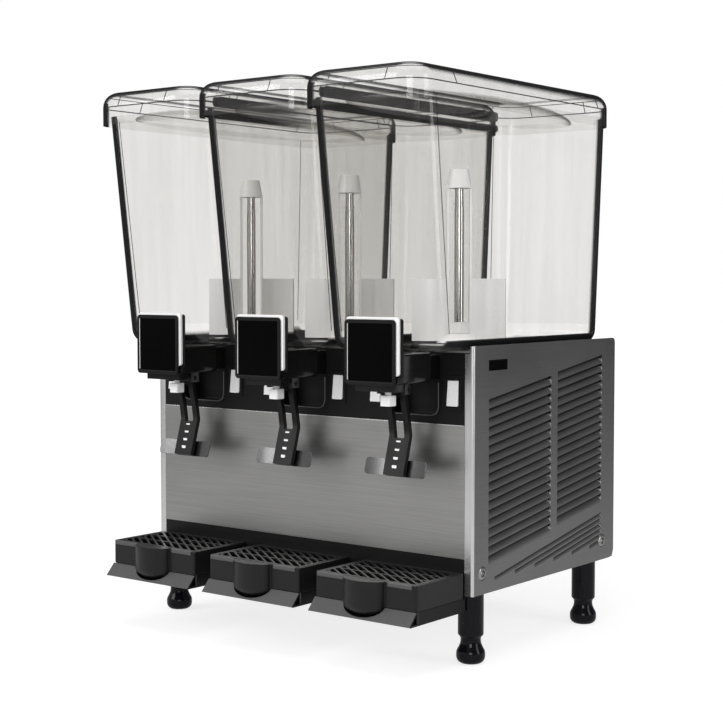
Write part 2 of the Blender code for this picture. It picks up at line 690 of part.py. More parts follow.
def sign_holder():
    """Blank sign plate on the front of the valve block."""
    half = SIGN_SIZE[0] / 2
    top = DECK + SIGN_RISE
    back = FRONT - VALVE_FRONT - GAP
    low = (-half, back - SIGN_THICKNESS, top - SIGN_SIZE[1])
    plate = box("sign_holder", low, (half, back, top), SIGN_CORNER, 3, "Y")
    return plate


def nose():
    """The half-round nose on a drip tray's front, with a domed foot below the tray."""
    dome = [(r * NOSE_RADIUS, TRAY_BOTTOM - z * NOSE_DROP) for r, z in arc(0, 0, 1, 0, 90, 4)]
    dome[-1] = (0, TRAY_BOTTOM - NOSE_DROP)
    profile = [(0, TRAY_TOP), (NOSE_RADIUS, TRAY_TOP), *dome]
    return turned("nose", profile, ROUND_STEPS, (0, FRONT - TRAY_OUT, 0), NOSE_OUT / NOSE_RADIUS)


def nose_channel(x):
    """The way that a nose needs through the apron as its tray slides out."""
    radius = NOSE_RADIUS + RUNNING_CLEARANCE
    low_y, high_y = FRONT - APRON_OUT - 0.01, FRONT - TRAY_OUT + NOSE_OUT + RUNNING_CLEARANCE
    centre = (x, (low_y + high_y) / 2, 0)
    channel = cylinder("nose_channel", radius, high_y - low_y, centre, "Y", ROUND_STEPS)
    squeeze = (NOSE_DROP + RUNNING_CLEARANCE) / radius
    channel.data.transform(Matrix.Translation((0, 0, TRAY_BOTTOM)) @ Matrix.Diagonal((1, 1, squeeze, 1)))
    return channel


def drip_tray():
    """Open tray with a half-round nose."""
    half = TRAY_HALF_WIDTH
    back = FRONT - 2 * GAP
    low = (-half, FRONT - TRAY_OUT, TRAY_BOTTOM)
    tray = box("drip_tray", low, (half, back, TRAY_TOP), TRAY_CORNER, 2, "Z")
    join(tray, nose())
    inner = Vector((TRAY_WALL, TRAY_WALL, TRAY_WALL))
    high = (half - TRAY_WALL, back - TRAY_WALL, TRAY_TOP + 0.02)
    well = box("well", Vector(low) + inner, high, WELL_CORNER, 2, "Z")
    return cut(tray, well)


def drip_grille():
    """Slotted grille that drops into the tray's mouth."""
    inset = TRAY_WALL + RUNNING_CLEARANCE / 2
    half = TRAY_HALF_WIDTH - inset
    front = FRONT - TRAY_OUT + inset
    back = FRONT - 2 * GAP - inset
    low = (-half, front, TRAY_TOP - GRILLE_THICKNESS)
    plate = box("drip_grille", low, (half, back, TRAY_TOP), WELL_CORNER, 2, "Z")
    length, width = GRILLE_SLOT
    row_depth = (back - front - GRILLE_MARGIN) / GRILLE_ROWS
    count = int((2 * half - GRILLE_MARGIN - length * math.cos(GRILLE_SLOT_TURN)) / GRILLE_SLOT_PITCH) + 1
    slots = []
    for row in range(GRILLE_ROWS):
        y = front + GRILLE_MARGIN / 2 + row_depth * (row + 0.5)
        for i in range(count):
            x = (i - (count - 1) / 2) * GRILLE_SLOT_PITCH
            low = (x - width / 2, y - length / 2, TRAY_TOP - 0.02)
            slot = box("grille_slot", low, (x + width / 2, y + length / 2, TRAY_TOP + 0.02))
            slots.append(turn_about(slot, GRILLE_SLOT_TURN, "Z", (x, y, 0)))
    return cut(plate, joined_bodies("grille_slots", slots))


def tray_bracket():
    """Wall plate with a sheet shelf and sloping apron under each tray."""
    bottom = LEG_HEIGHT - APRON_BOTTOM_DOWN
    low = (-PANEL_HALF_WIDTH, FRONT, bottom)
    wall = box("tray_bracket", low, (PANEL_HALF_WIDTH, FRONT + 0.003, PANEL_BOTTOM - GAP))
    path = [
        (FRONT + 0.001, bottom),
        (FRONT - APRON_OUT + 0.003, bottom),
        (FRONT - APRON_OUT, bottom + 0.001),
        (FRONT - TRAY_OUT, TRAY_BOTTOM - GAP),
    ]
    half = TRAY_HALF_WIDTH
    shelves, channels = [], []
    for x in bowl_centres():
        shelves.append(bent_sheet("shelf", path, x - half, x + half, -BRACKET_SHEET))
        channels.append(nose_channel(x))
        for side in (-1, 1):
            xs = sorted((x + side * half, x + side * (half - BRACKET_SHEET)))
            low = (xs[0], FRONT - TRAY_OUT + 0.004, bottom + 0.0005)
            shelves.append(box("shelf_side", low, (xs[1], FRONT + 0.001, TRAY_BOTTOM - GAP)))
    join(wall, *shelves)
    return cut(wall, joined_bodies("nose_channels", channels))


def leg():
    """Turned leg with a stepped neck and a rounded foot."""
    top = LEG_HEIGHT - GAP
    r = LEG_RADIUS
    profile = [
        (0, top),
        (r, top),
        (r, 0.034),
        (r - 0.0030, 0.031),
        (r - 0.0032, 0.025),
        (r + 0.0020, 0.014),
        (r + 0.0018, 0.006),
        (r - 0.0030, 0.0),
        (0, 0.0),
    ]
    return turned("leg", profile, LEG_STEPS)


def back_panel():
    """Rear sheet with cooling slots over the fan and a cut-out for the power inlet."""
    low = (-INSIDE_HALF_WIDTH, BACK - SHEET, LEG_HEIGHT + SHEET + 2 * GAP)
    panel = box("back_panel", low, (INSIDE_HALF_WIDTH, BACK, DECK))
    slots = []
    for i in range(9):
        z = FAN_Z + (i - 4) * 0.016
        low = (FAN_X - 0.070, BACK - 0.01, z - 0.003)
        slots.append(box("rear_slot", low, (FAN_X + 0.070, BACK + 0.01, z + 0.003)))
    slots.append(inlet_block(GAP, 0.01))
    return cut(panel, joined_bodies("rear_slots", slots))


def inlet_block(clearance, reach):
    """The power inlet's block, grown by a clearance and reaching out past the back."""
    half_x, depth, half_z = INLET_SIZE[0] / 2, INLET_SIZE[1], INLET_SIZE[2] / 2
    middle = Vector((0.10 - HALF_WIDTH, BACK, LEG_HEIGHT + 0.045))
    low = middle - Vector((half_x + clearance, depth, half_z + clearance))
    return box("inlet", low, middle + Vector((half_x + clearance, reach, half_z + clearance)))


def power_inlet():
    """Appliance inlet with its recess."""
    block = inlet_block(0.0, -GAP)
    recess = inlet_block(-0.003, 0.02)
    for vert in recess.data.vertices:
        if vert.co.y < BACK:
            vert.co.y = BACK - INLET_SIZE[1] + 0.004
    return cut(block, recess)


def compressor():
    """Hermetic compressor shell on a foot flange."""
    foot = LEG_HEIGHT + SHEET + 2 * GAP
    r, h = COMPRESSOR_RADIUS, COMPRESSOR_HEIGHT
    profile = [
        (0, foot + h),
        (r * 0.55, foot + h * 0.97),
        (r * 0.88, foot + h * 0.88),
        (r, foot + h * 0.74),
        (r, foot + h * 0.20),
        (r * 1.12, foot + h * 0.17),
        (r * 1.12, foot),
        (0, foot),
    ]
    return turned("compressor", profile, 20, (0.110 - HALF_WIDTH, BACK - 0.110, 0))


def condenser():
    """Finned coil block in front of the fan."""
    size = Vector(CONDENSER_SIZE)
    middle = Vector((FAN_X, FAN_Y - SHROUD_DEPTH - 0.012 - size.y / 2, FAN_Z))
    core = box("condenser", middle - size / 2, middle + size / 2)
    fins = []
    for i in range(7):
        x = middle.x + (i - 3) * 0.020
        low = (x - 0.004, middle.y - size.y, middle.z - size.z / 2 + 0.008)
        fins.append(box("fin_gap", low, (x + 0.004, middle.y + size.y, middle.z + size.z / 2 - 0.008)))
    return cut(core, joined_bodies("fin_gaps", fins))


def fan_shroud():
    """Square fan frame with its motor on struts."""
    half = SHROUD_SIZE / 2
    back = FAN_Y + FAN_DEPTH / 2 + 0.003
    front = FAN_Y - FAN_DEPTH / 2 - 0.006 - 0.010
    frame = box("fan_shroud", (FAN_X - half, front, FAN_Z - half), (FAN_X + half, back, FAN_Z + half))
    hole = cylinder("fan_hole", FAN_RADIUS + 3 * RUNNING_CLEARANCE, 0.2, (FAN_X, FAN_Y, FAN_Z), "Y", 28)
    cut(frame, hole)
    motor = cylinder("fan_motor", FAN_MOTOR_RADIUS, 0.010, (FAN_X, front + 0.005, FAN_Z), "Y", 16)
    low = (FAN_X - 0.004, front, FAN_Z - half + 0.002)
    strut = box("strut", low, (FAN_X + 0.004, front + 0.005, FAN_Z + half - 0.002))
    return join(frame, motor, strut)


def fan_blade():
    """Five-bladed cooling fan."""
    centre = (FAN_X, FAN_Y, FAN_Z)
    hub = cylinder("fan_blade", FAN_HUB_RADIUS, FAN_DEPTH, centre, "Y", 16)
    blades = []
    for i in range(FAN_BLADES):
        low = (FAN_X - 0.018, FAN_Y - 0.001, FAN_Z + 0.014)
        wing = box("wing", low, (FAN_X + 0.018, FAN_Y + 0.001, FAN_Z + FAN_RADIUS - 0.003))
        turn_about(wing, math.radians(20), "Z", centre)
        blades.append(turn_about(wing, 2 * math.pi / FAN_BLADES * i, "Y", centre))
    return join(hub, *blades)


def stir_drive():
    """Three magnetic stirring motors hung under the deck on one bar."""
    top = DECK - DECK_SHEET - GAP
    low = (-HALF_WIDTH + 0.020, STIR_Y - 0.020, top - 0.002)
    bar = box("stir_drive", low, (HALF_WIDTH - 0.020, STIR_Y + 0.020, top))
    motors = []
    for x in bowl_centres():
        middle = (x, STIR_Y, top - 0.001 - STIR_MOTOR_HEIGHT / 2)
        motors.append(cylinder("stir_motor", STIR_MOTOR_RADIUS, STIR_MOTOR_HEIGHT, middle, steps=16))
    return join(bar, *motors)


def add_cabinet():
    """Everything that stands still between the legs and the deck."""
    part("side_panel_left", side_panel(-1), "brushed_steel")
    part("side_panel_right", side_panel(1), "brushed_steel")
    low = (-INSIDE_HALF_WIDTH, FRONT + 0.005, LEG_HEIGHT)
    part("base_plate", box("base", low, (INSIDE_HALF_WIDTH, BACK, LEG_HEIGHT + SHEET)), "galvanised_steel")
    front_path = [
        (FRONT, FASCIA_BOTTOM - GAP),
        (FRONT, PANEL_BOTTOM),
        (FRONT + 0.014, PANEL_BOTTOM),
    ]
    panel = bent_sheet("front", front_path, -PANEL_HALF_WIDTH, PANEL_HALF_WIDTH, SHEET)
    part("front_panel", panel, "brushed_steel")
    part("fascia", fascia(), "black_plastic")
    low = (-INSIDE_HALF_WIDTH, LEDGE_BACK + GAP, DECK - DECK_SHEET)
    high = (INSIDE_HALF_WIDTH, BACK - SHEET - GAP, DECK)
    part("top_deck", box("deck", low, high), "brushed_steel")
    part("back_panel", back_panel(), "galvanised_steel")
    part("power_inlet", power_inlet(), "black_plastic")
    part("tray_bracket", tray_bracket(), "apron_plastic")
    part("compressor", compressor(), "black_enamel")
    part("condenser", condenser(), "copper_fins")
    part("fan_shroud", fan_shroud(), "black_plastic")
    part("fan_blade", fan_blade(), "black_plastic", (FAN_X, FAN_Y, FAN_Z))
    part("stir_drive", stir_drive(), "galvanised_steel")
    shape = leg()
    places = {"front": FRONT + LEG_FRONT_INSET, "rear": BACK - LEG_BACK_INSET}
    for side, sign in (("left", -1), ("right", 1)):
        for end, y in places.items():
            foot = part(f"leg_{end}_{side}", shape, "black_enamel")
            foot.location = (sign * (HALF_WIDTH - LEG_SIDE_INSET), y, 0)


def module_shapes():
    """The shapes of one bowl's set, each with its finish and the point that its joint goes by."""
    stir = (0, STIR_Y, PADDLE_FOOT)
    rocker_middle = (0, FRONT, FASCIA_BOTTOM + ROCKER_UP)
    return {
        "evaporator": (evaporator(), "brushed_steel", stir),
        "bowl_seal": (bowl_seal(), "rubber", stir),
        "bowl": (bowl(), "clear_plastic", (0, STIR_Y, BOWL_FOOT)),
        "lid": (lid(), "clear_plastic", (0, STIR_Y, BOWL_RIM)),
        "paddle": (paddle(), "white_plastic", stir),
        "valve_body": (valve_body(), "black_plastic", PIVOT),
        "valve_plunger": (valve_plunger(), "white_plastic", (0, FRONT - PLUNGER_OUT, PIVOT.z)),
        "lever": (lever(), "black_plastic", PIVOT),
        "lever_pad": (lever_pad(), "brushed_steel", PIVOT),
        "sign_holder": (sign_holder(), "black_plastic", PIVOT),
        "drip_tray": (drip_tray(), "black_plastic", (0, FRONT, TRAY_BOTTOM)),
        "drip_grille": (drip_grille(), "black_plastic", (0, FRONT, TRAY_TOP)),
        "rocker": (rocker(), "white_plastic", rocker_middle),
    }


def add_module(module, x, shapes):
    """One bowl's set of pieces under an empty at its middle."""
    anchor = bpy.data.objects.new(f"module_{module}", None)
    anchor.location = (x, 0, 0)
    PARTS.objects.link(anchor)
    for name, (shape, finish, origin) in shapes.items():
        if name == "rocker":
            continue
        part(f"{name}_{module}", shape, finish, origin, anchor)
    shape, finish, origin = shapes["rocker"]
    for use, side in (("stir", -1), ("chill", 1)):
        part(f"{use}_rocker_{module}", shape, finish, origin, anchor, side * ROCKER_OFFSET)


def main():
    start_scene()
    add_cabinet()
    shapes = module_shapes()
    for module, x in zip(MODULES, bowl_centres()):
        add_module(module, x, shapes)


main()
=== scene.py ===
"""Looks of a countertop drink dispenser with three clear bowls, laid out as an add-on and run as a script.

Sizes are in metres. The frame holds the machine's bodies, and every piece made here rides on one of them.
"""

import functools
import math

import bmesh
import bpy
from bpy.props import FloatProperty, FloatVectorProperty, PointerProperty
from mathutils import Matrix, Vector


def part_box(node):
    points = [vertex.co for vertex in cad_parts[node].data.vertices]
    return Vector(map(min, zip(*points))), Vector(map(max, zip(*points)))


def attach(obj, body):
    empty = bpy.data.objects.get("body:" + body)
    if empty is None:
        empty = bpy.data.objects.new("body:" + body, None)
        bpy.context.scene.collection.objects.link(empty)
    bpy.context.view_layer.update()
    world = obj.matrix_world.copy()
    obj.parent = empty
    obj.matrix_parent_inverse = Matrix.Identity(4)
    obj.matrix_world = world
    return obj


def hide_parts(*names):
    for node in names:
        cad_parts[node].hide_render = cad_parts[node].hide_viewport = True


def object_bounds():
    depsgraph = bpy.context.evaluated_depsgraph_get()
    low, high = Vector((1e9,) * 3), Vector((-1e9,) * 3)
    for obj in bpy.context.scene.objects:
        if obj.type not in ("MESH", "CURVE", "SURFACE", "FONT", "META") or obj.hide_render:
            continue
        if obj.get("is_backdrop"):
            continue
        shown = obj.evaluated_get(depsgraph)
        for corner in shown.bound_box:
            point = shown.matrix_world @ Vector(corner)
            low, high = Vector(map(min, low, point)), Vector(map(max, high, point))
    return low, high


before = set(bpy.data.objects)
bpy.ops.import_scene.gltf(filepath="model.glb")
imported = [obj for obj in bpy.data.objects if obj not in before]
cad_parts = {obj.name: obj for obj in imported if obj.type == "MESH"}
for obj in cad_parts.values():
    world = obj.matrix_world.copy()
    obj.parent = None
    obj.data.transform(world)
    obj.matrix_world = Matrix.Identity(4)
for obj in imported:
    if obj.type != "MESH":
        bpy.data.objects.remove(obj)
CAD_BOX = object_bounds()

bl_info = {
    "name": "Drink dispenser looks",
    "version": (1, 0, 0),
    "blender": (4, 5, 0),
    "location": "View3D > Sidebar > Dispenser",
    "description": "Models and finishes a countertop drink dispenser with three bowls",
    "category": "Object",
}

MODULES = ("left", "middle", "right")
TINY = 1e-5
SLOPE = math.tan(math.radians(8.5))  # of the louvre slats
GROOVE_SLOPE = math.tan(math.radians(10.2))  # of the grooves below them
OUT = Vector((1, 0, 0))
BACKWARD = Vector((0, 1, 0))


# ---------------------------------------------------------------- selecting and shaping


def release():
    """Object mode with nothing selected."""
    if bpy.context.object and bpy.context.object.mode != "OBJECT":
        bpy.ops.object.mode_set(mode="OBJECT")
    bpy.ops.object.select_all(action="DESELECT")


def hold(obj):
    """Object mode with only this object selected and active."""
    release()
    obj.select_set(True)
    bpy.context.view_layer.objects.active = obj


def named(name):
    """The active object under its own name, with its place worked into its mesh."""
    obj = bpy.context.active_object
    obj.name = name
    obj.data.name = name
    bpy.ops.object.transform_apply(location=True, rotation=True, scale=True)
    return obj


def block(name, low, high):
    """A box between two corners."""
    low, high = Vector(low), Vector(high)
    release()
    bpy.ops.mesh.primitive_cube_add(size=1, location=(low + high) / 2)
    bpy.context.active_object.scale = high - low
    return named(name)


def rod(name, radius, start, end, steps=24):
    """A cylinder between two points."""
    start, end = Vector(start), Vector(end)
    release()
    bpy.ops.mesh.primitive_cylinder_add(
        vertices=steps,
        radius=radius,
        depth=(end - start).length,
        location=(start + end) / 2,
        rotation=(end - start).to_track_quat("Z", "Y").to_euler(),
    )
    return named(name)


def edit(obj, kind="FACE"):
    """Edit mode on this object alone, nothing selected."""
    hold(obj)
    bpy.ops.object.mode_set(mode="EDIT")
    bpy.ops.mesh.select_mode(type=kind)
    bpy.ops.mesh.select_all(action="DESELECT")


def everything():
    """In edit mode, selects the whole mesh."""
    bpy.ops.mesh.select_all(action="SELECT")


def pick(obj, kind, test):
    """In edit mode, selects the vertices, edges or faces that pass the test."""
    edit(obj, kind)
    shape = bmesh.from_edit_mesh(obj.data)
    shape.normal_update()
    for item in {"VERT": shape.verts, "EDGE": shape.edges, "FACE": shape.faces}[kind]:
        if test(item):
            item.select_set(True)
    shape.select_flush_mode()
    bmesh.update_edit_mesh(obj.data)


def facing(direction, within=0.9):
    """A test for faces that look this way."""
    return lambda face: face.normal.dot(direction) > within


def lengthways(axis, test=None):
    """A test for edges that run along an axis, and whose middle passes a further test."""

    def passes(edge):
        run = edge.verts[1].co - edge.verts[0].co
        straight = abs(run[axis]) > 0.999 * run.length
        return straight and (test is None or test((edge.verts[0].co + edge.verts[1].co) / 2))

    return passes


def bevel(width, segments=2, profile=0.5):
    """Rounds the selected edges."""
    bpy.ops.mesh.bevel(offset=width, offset_pct=0, segments=segments, profile=profile, affect="EDGES")


def inset(width, depth=0.0):
    """Insets the selected faces, and sinks them if depth is below nought."""
    bpy.ops.mesh.inset(thickness=width, depth=depth)


def shift(value):
    """Moves what is selected."""
    bpy.ops.transform.translate(value=value)


def modified(obj, kind, **settings):
    """Adds a modifier with these settings and applies it."""
    hold(obj)
    made = obj.modifiers.new(kind.lower(), kind)
    for key, value in settings.items():
        setattr(made, key, value)
    bpy.ops.object.modifier_apply(modifier=made.name)
    return obj


def soften(obj, width, segments=2, angle=30):
    """Rounds every edge sharper than the angle."""
    return modified(obj, "BEVEL", width=width, segments=segments, limit_method="ANGLE",
                    angle_limit=math.radians(angle))


def smooth(obj, angle=35):
    """Smooth shading with sharp edges kept, weighted by area so that flat faces stay flat."""
    hold(obj)
    bpy.ops.object.shade_smooth_by_angle(angle=math.radians(angle))
    return modified(obj, "WEIGHTED_NORMAL", keep_sharp=True)


def thicken(obj, thickness, offset=-1.0):
    """Gives a sheet its wall."""
    return modified(obj, "SOLIDIFY", thickness=thickness, offset=offset, use_even_offset=True)


def cut(obj, *cutters, operation="DIFFERENCE"):
    """Takes the cutters out of obj, or keeps what it shares with them, and removes them."""
    for cutter in cutters:
        modified(obj, "BOOLEAN", operation=operation, solver="EXACT", object=cutter)
        bpy.data.objects.remove(cutter)
    return obj


def joined(name, *pieces):
    """One object of several."""
    release()
    for piece in pieces:
        piece.select_set(True)
    bpy.context.view_layer.objects.active = pieces[0]
    if len(pieces) > 1:
        bpy.ops.object.join()
    pieces[0].name = name
    pieces[0].data.name = name
    return pieces[0]


def copied(obj, name, move=(0, 0, 0)):
    """A copy with its own mesh, moved."""
    hold(obj)
    bpy.ops.object.duplicate(linked=False)
    bpy.context.active_object.location = Vector(move)
    return named(name)


def turned_by(obj, angle, axis, centre):
    """Turns the object's mesh about a line through centre."""
    hold(obj)
    bpy.context.scene.cursor.location = centre
    bpy.ops.object.origin_set(type="ORIGIN_CURSOR")
    obj.rotation_euler = [angle if letter == axis else 0 for letter in "XYZ"]
    bpy.ops.object.transform_apply(location=True, rotation=True, scale=True)
    return obj


def line(name, points):
    """A chain of edges through the points, made by extruding one vertex."""
    release()
    bpy.ops.mesh.primitive_plane_add(size=0.01, location=points[0])
    obj = named(name)
    edit(obj, "VERT")
    everything()
    bpy.ops.mesh.merge(type="CENTER")
    for near, far in zip(points, points[1:]):
        bpy.ops.mesh.extrude_region_move(TRANSFORM_OT_translate={"value": Vector(far) - Vector(near)})
    return obj


def tube(obj, radius, capped=False):
    """A round bead along the object's edges."""
    release()
    hold(obj)
    bpy.ops.object.convert(target="CURVE")
    path = bpy.context.active_object
    path.data.bevel_depth = radius
    path.data.use_fill_caps = capped
    return path


def turned(name, profile, centre, steps=48, axis=(0, 0, 1)):
    """A turned solid. profile is (radius, height) from the top middle down the outside to the bottom."""
    centre = Vector(centre)
    points = [centre + Vector((radius, 0, height)) for radius, height in profile]
    obj = line(name, points)
    everything()
    bpy.ops.mesh.spin(steps=steps, angle=2 * math.pi, center=centre, axis=axis, use_auto_merge=True)
    everything()
    bpy.ops.mesh.remove_doubles(threshold=TINY)
    bpy.ops.mesh.normals_make_consistent(inside=False)
    release()
    return obj


def folded(name, points, run, thickness):
    """A folded sheet: the chain of points drawn out along run, then given its wall about its middle."""
    obj = line(name, points)
    everything()
    bpy.ops.mesh.extrude_region_move(TRANSFORM_OT_translate={"value": run})
    everything()
    bpy.ops.mesh.remove_doubles(threshold=TINY)
    return tidied(thicken(obj, thickness, 0.0))


def tidied(obj):
    """Doubles merged and normals outwards."""
    edit(obj, "VERT")
    everything()
    bpy.ops.mesh.remove_doubles(threshold=TINY)
    bpy.ops.mesh.normals_make_consistent(inside=False)
    release()
    return obj


def from_node(node, name, width=0.0005, segments=2):
    """A copy of a frame node with merged corners and rounded edges."""
    hold(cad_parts[node])
    bpy.ops.object.duplicate(linked=False)
    obj = bpy.context.active_object
    for key in list(obj.keys()):
        del obj[key]
    obj.parent = None
    obj.name = name
    obj.data.name = name
    obj.data.materials.clear()
    edit(obj, "VERT")
    everything()
    bpy.ops.mesh.customdata_custom_splitnormals_clear()
    bpy.ops.mesh.remove_doubles(threshold=TINY)
    everything()
    bpy.ops.mesh.dissolve_limited(angle_limit=math.radians(0.5))
    release()
    return smooth(soften(obj, width, segments), 40)


def arc(centre, radius, start, end, steps):
    """Pairs of numbers along an arc, angles in degrees."""
    angles = [math.radians(start + (end - start) * i / steps) for i in range(steps + 1)]
    return [(centre[0] + radius * math.cos(t), centre[1] + radius * math.sin(t)) for t in angles]


# ---------------------------------------------------------------- the frame's places


def span(node):
    """The lowest and highest corner of a frame node."""
    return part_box(node)


def middle_x(module):
    """X of a bowl's middle."""
    low, high = span(f"bowl_{module}")
    return (low.x + high.x) / 2


def painted(obj, material, *others):
    """Gives a piece its main material. Each further one is (material, test) for the faces that take it."""
    obj.data.materials.clear()
    obj.data.materials.append(material)
    for index, (other, test) in enumerate(others, start=1):
        obj.data.materials.append(other)
        for face in obj.data.polygons:
            if test(face):
                face.material_index = index
    return obj


def placed(obj, body, node, material=None):
    """Finishes a piece: material, slot, body and the frame node that it stands for."""
    if material:
        painted(obj, material)
    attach(obj, body)
    if node:
        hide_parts(node)
    return obj


def for_each_bowl(master, name, body, node, material=None, modules=MODULES):
    """Copies a piece modelled at the middle bowl to all three, or to some of them."""
    for module in modules:
        shifted = copied(master, f"{name}_{module}", (middle_x(module) - middle_x("middle"), 0, 0))
        own_node = node and f"{node}_{module}"
        own_body = body if body == "cabinet" else f"{body}_{module}"
        placed(shifted, own_body, own_node, material)
    bpy.data.objects.remove(master)


# ---------------------------------------------------------------- finishes


def socket(tree, side, name, kind, value=None):
    """A new socket on a node group."""
    made = tree.interface.new_socket(name=name, in_out=side, socket_type=f"NodeSocket{kind}")
    if value is not None:
        made.default_value = value


def new_node(tree, kind, **settings):
    """A node with its settings, and inputs given as name=value through 'inputs'."""
    made = tree.nodes.new(kind)
    inputs = settings.pop("inputs", {})
    for key, value in settings.items():
        setattr(made, key, value)
    for key, value in inputs.items():
        if isinstance(value, bpy.types.NodeSocket):
            tree.links.new(value, made.inputs[key])
        else:
            made.inputs[key].default_value = value
    return made


def maths(tree, operation, first, second=0.0):
    """What a Math node gives."""
    return new_node(tree, "ShaderNodeMath", operation=operation, inputs={0: first, 1: second}).outputs[0]


def ranged(tree, value, start, end, low=0.0, high=1.0, kind="SMOOTHSTEP"):
    """What a Map Range node gives: low at start, high at end."""
    made = new_node(tree, "ShaderNodeMapRange", interpolation_type=kind,
                    inputs={"Value": value, "From Min": start, "From Max": end, "To Min": low, "To Max": high})
    return made.outputs[0]


def blended(tree, share, first, second):
    """A colour between two others."""
    made = new_node(tree, "ShaderNodeMix", data_type="RGBA", inputs={0: share, 6: first, 7: second})
    return made.outputs[2]


def layered(tree, share, first, second):
    """A shader between two others."""
    return new_node(tree, "ShaderNodeMixShader", inputs={0: share, 1: first, 2: second}).outputs[0]


def started_group(name, takes, gives):
    """A node group with its sockets, what comes in, and what goes out. takes is {name: (kind, default)}."""
    tree = bpy.data.node_groups.new(name, "ShaderNodeTree")
    for key, (kind, value) in takes.items():
        socket(tree, "INPUT", key, kind, value)
    socket(tree, "OUTPUT", gives, "Float")
    return tree, tree.nodes.new("NodeGroupInput").outputs, tree.nodes.new("NodeGroupOutput").inputs[gives]


@functools.cache
def streaks_group():
    """Fine lines drawn out along one direction, as brushing leaves them."""
    takes = {"Vector": ("Vector", None), "Stretch": ("Vector", (1.0, 1.0, 1.0)), "Detail": ("Float", 3.0)}
    tree, taken, given = started_group("streaks", takes, "Value")
    drawn = new_node(tree, "ShaderNodeVectorMath", operation="MULTIPLY",
                     inputs={0: taken["Vector"], 1: taken["Stretch"]})
    noise = new_node(tree, "ShaderNodeTexNoise",
                     inputs={"Vector": drawn.outputs[0], "Scale": 1.0, "Roughness": 0.62,
                             "Detail": taken["Detail"]})
    tree.links.new(ranged(tree, noise.outputs[0], 0.3, 0.7, kind="LINEAR"), given)
    return tree


@functools.cache
def mottle_group():
    """Slow, soft patches, for smudges and uneven sheen."""
    takes = {"Vector": ("Vector", None), "Scale": ("Float", 10.0), "Low": ("Float", 0.0),
             "High": ("Float", 1.0)}
    tree, taken, given = started_group("mottle", takes, "Value")
    noise = new_node(tree, "ShaderNodeTexNoise",
                     inputs={"Vector": taken["Vector"], "Scale": taken["Scale"], "Detail": 4.0,
                             "Distortion": 0.4})
    tree.links.new(ranged(tree, noise.outputs[0], 0.32, 0.68, taken["Low"], taken["High"], "LINEAR"), given)
    return tree


@functools.cache
def dust_group():
    """A thin settling of dust on faces that look up."""
    takes = {"Vector": ("Vector", None), "Normal": ("Vector", None), "Amount": ("Float", 0.2)}
    tree, taken, given = started_group("dust", takes, "Mask")
    parts = new_node(tree, "ShaderNodeSeparateXYZ", inputs={0: taken["Normal"]})
    upward = ranged(tree, parts.outputs[2], 0.4, 1.0)
    noise = new_node(tree, "ShaderNodeTexNoise",
                     inputs={"Vector": taken["Vector"], "Scale": 160.0, "Detail": 3.0})
    settled = maths(tree, "MULTIPLY", upward, noise.outputs[0])
    tree.links.new(maths(tree, "MULTIPLY", settled, taken["Amount"]), given)
    return tree


def placed_group(tree, group, **inputs):
    """A node group in a material."""
    return new_node(tree, "ShaderNodeGroup", node_tree=group, inputs=inputs)


def new_material(name):
    """A material with its node tree and its shader."""
    material = bpy.data.materials.new(f"{name}_finish")
    material.use_nodes = True
    return material, material.node_tree, material.node_tree.nodes["Principled BSDF"]


@functools.cache
def finish(name):
    """A solid finish: two colours along its streaks, patchy roughness, a fine relief, and dust on top."""
    colours, roughness, stretch, (strength, relief_height), more = FINISHES[name]
    material, tree, shader = new_material(name)
    place = tree.nodes.new("ShaderNodeTexCoord").outputs
    streaks = placed_group(tree, streaks_group(), Vector=place["Object"], Stretch=stretch).outputs["Value"]
    patches = placed_group(tree, mottle_group(), Vector=place["Object"], Scale=more.get("patch", 12.0),
                           Low=roughness[0], High=roughness[1])
    colour = blended(tree, streaks, (*colours[0], 1), (*colours[1], 1))
    if "dust" in more:
        settled = placed_group(tree, dust_group(), Vector=place["Object"], Normal=place["Normal"],
                               Amount=more["dust"])
        colour = blended(tree, settled.outputs["Mask"], colour, (0.35, 0.34, 0.33, 1))
    tree.links.new(colour, shader.inputs["Base Color"])
    tree.links.new(patches.outputs["Value"], shader.inputs["Roughness"])
    relief = new_node(tree, "ShaderNodeBump",
                      inputs={"Strength": strength, "Distance": relief_height, "Height": streaks})
    tree.links.new(relief.outputs[0], shader.inputs["Normal"])
    shader.inputs["Metallic"].default_value = more.get("metallic", 0.0)
    shader.inputs["Specular IOR Level"].default_value = more.get("specular", 0.5)
    return material


def grey(value, warmth=0.0):
    """A near-neutral colour."""
    return (value * (1 + warmth), value, value * (1 - warmth))


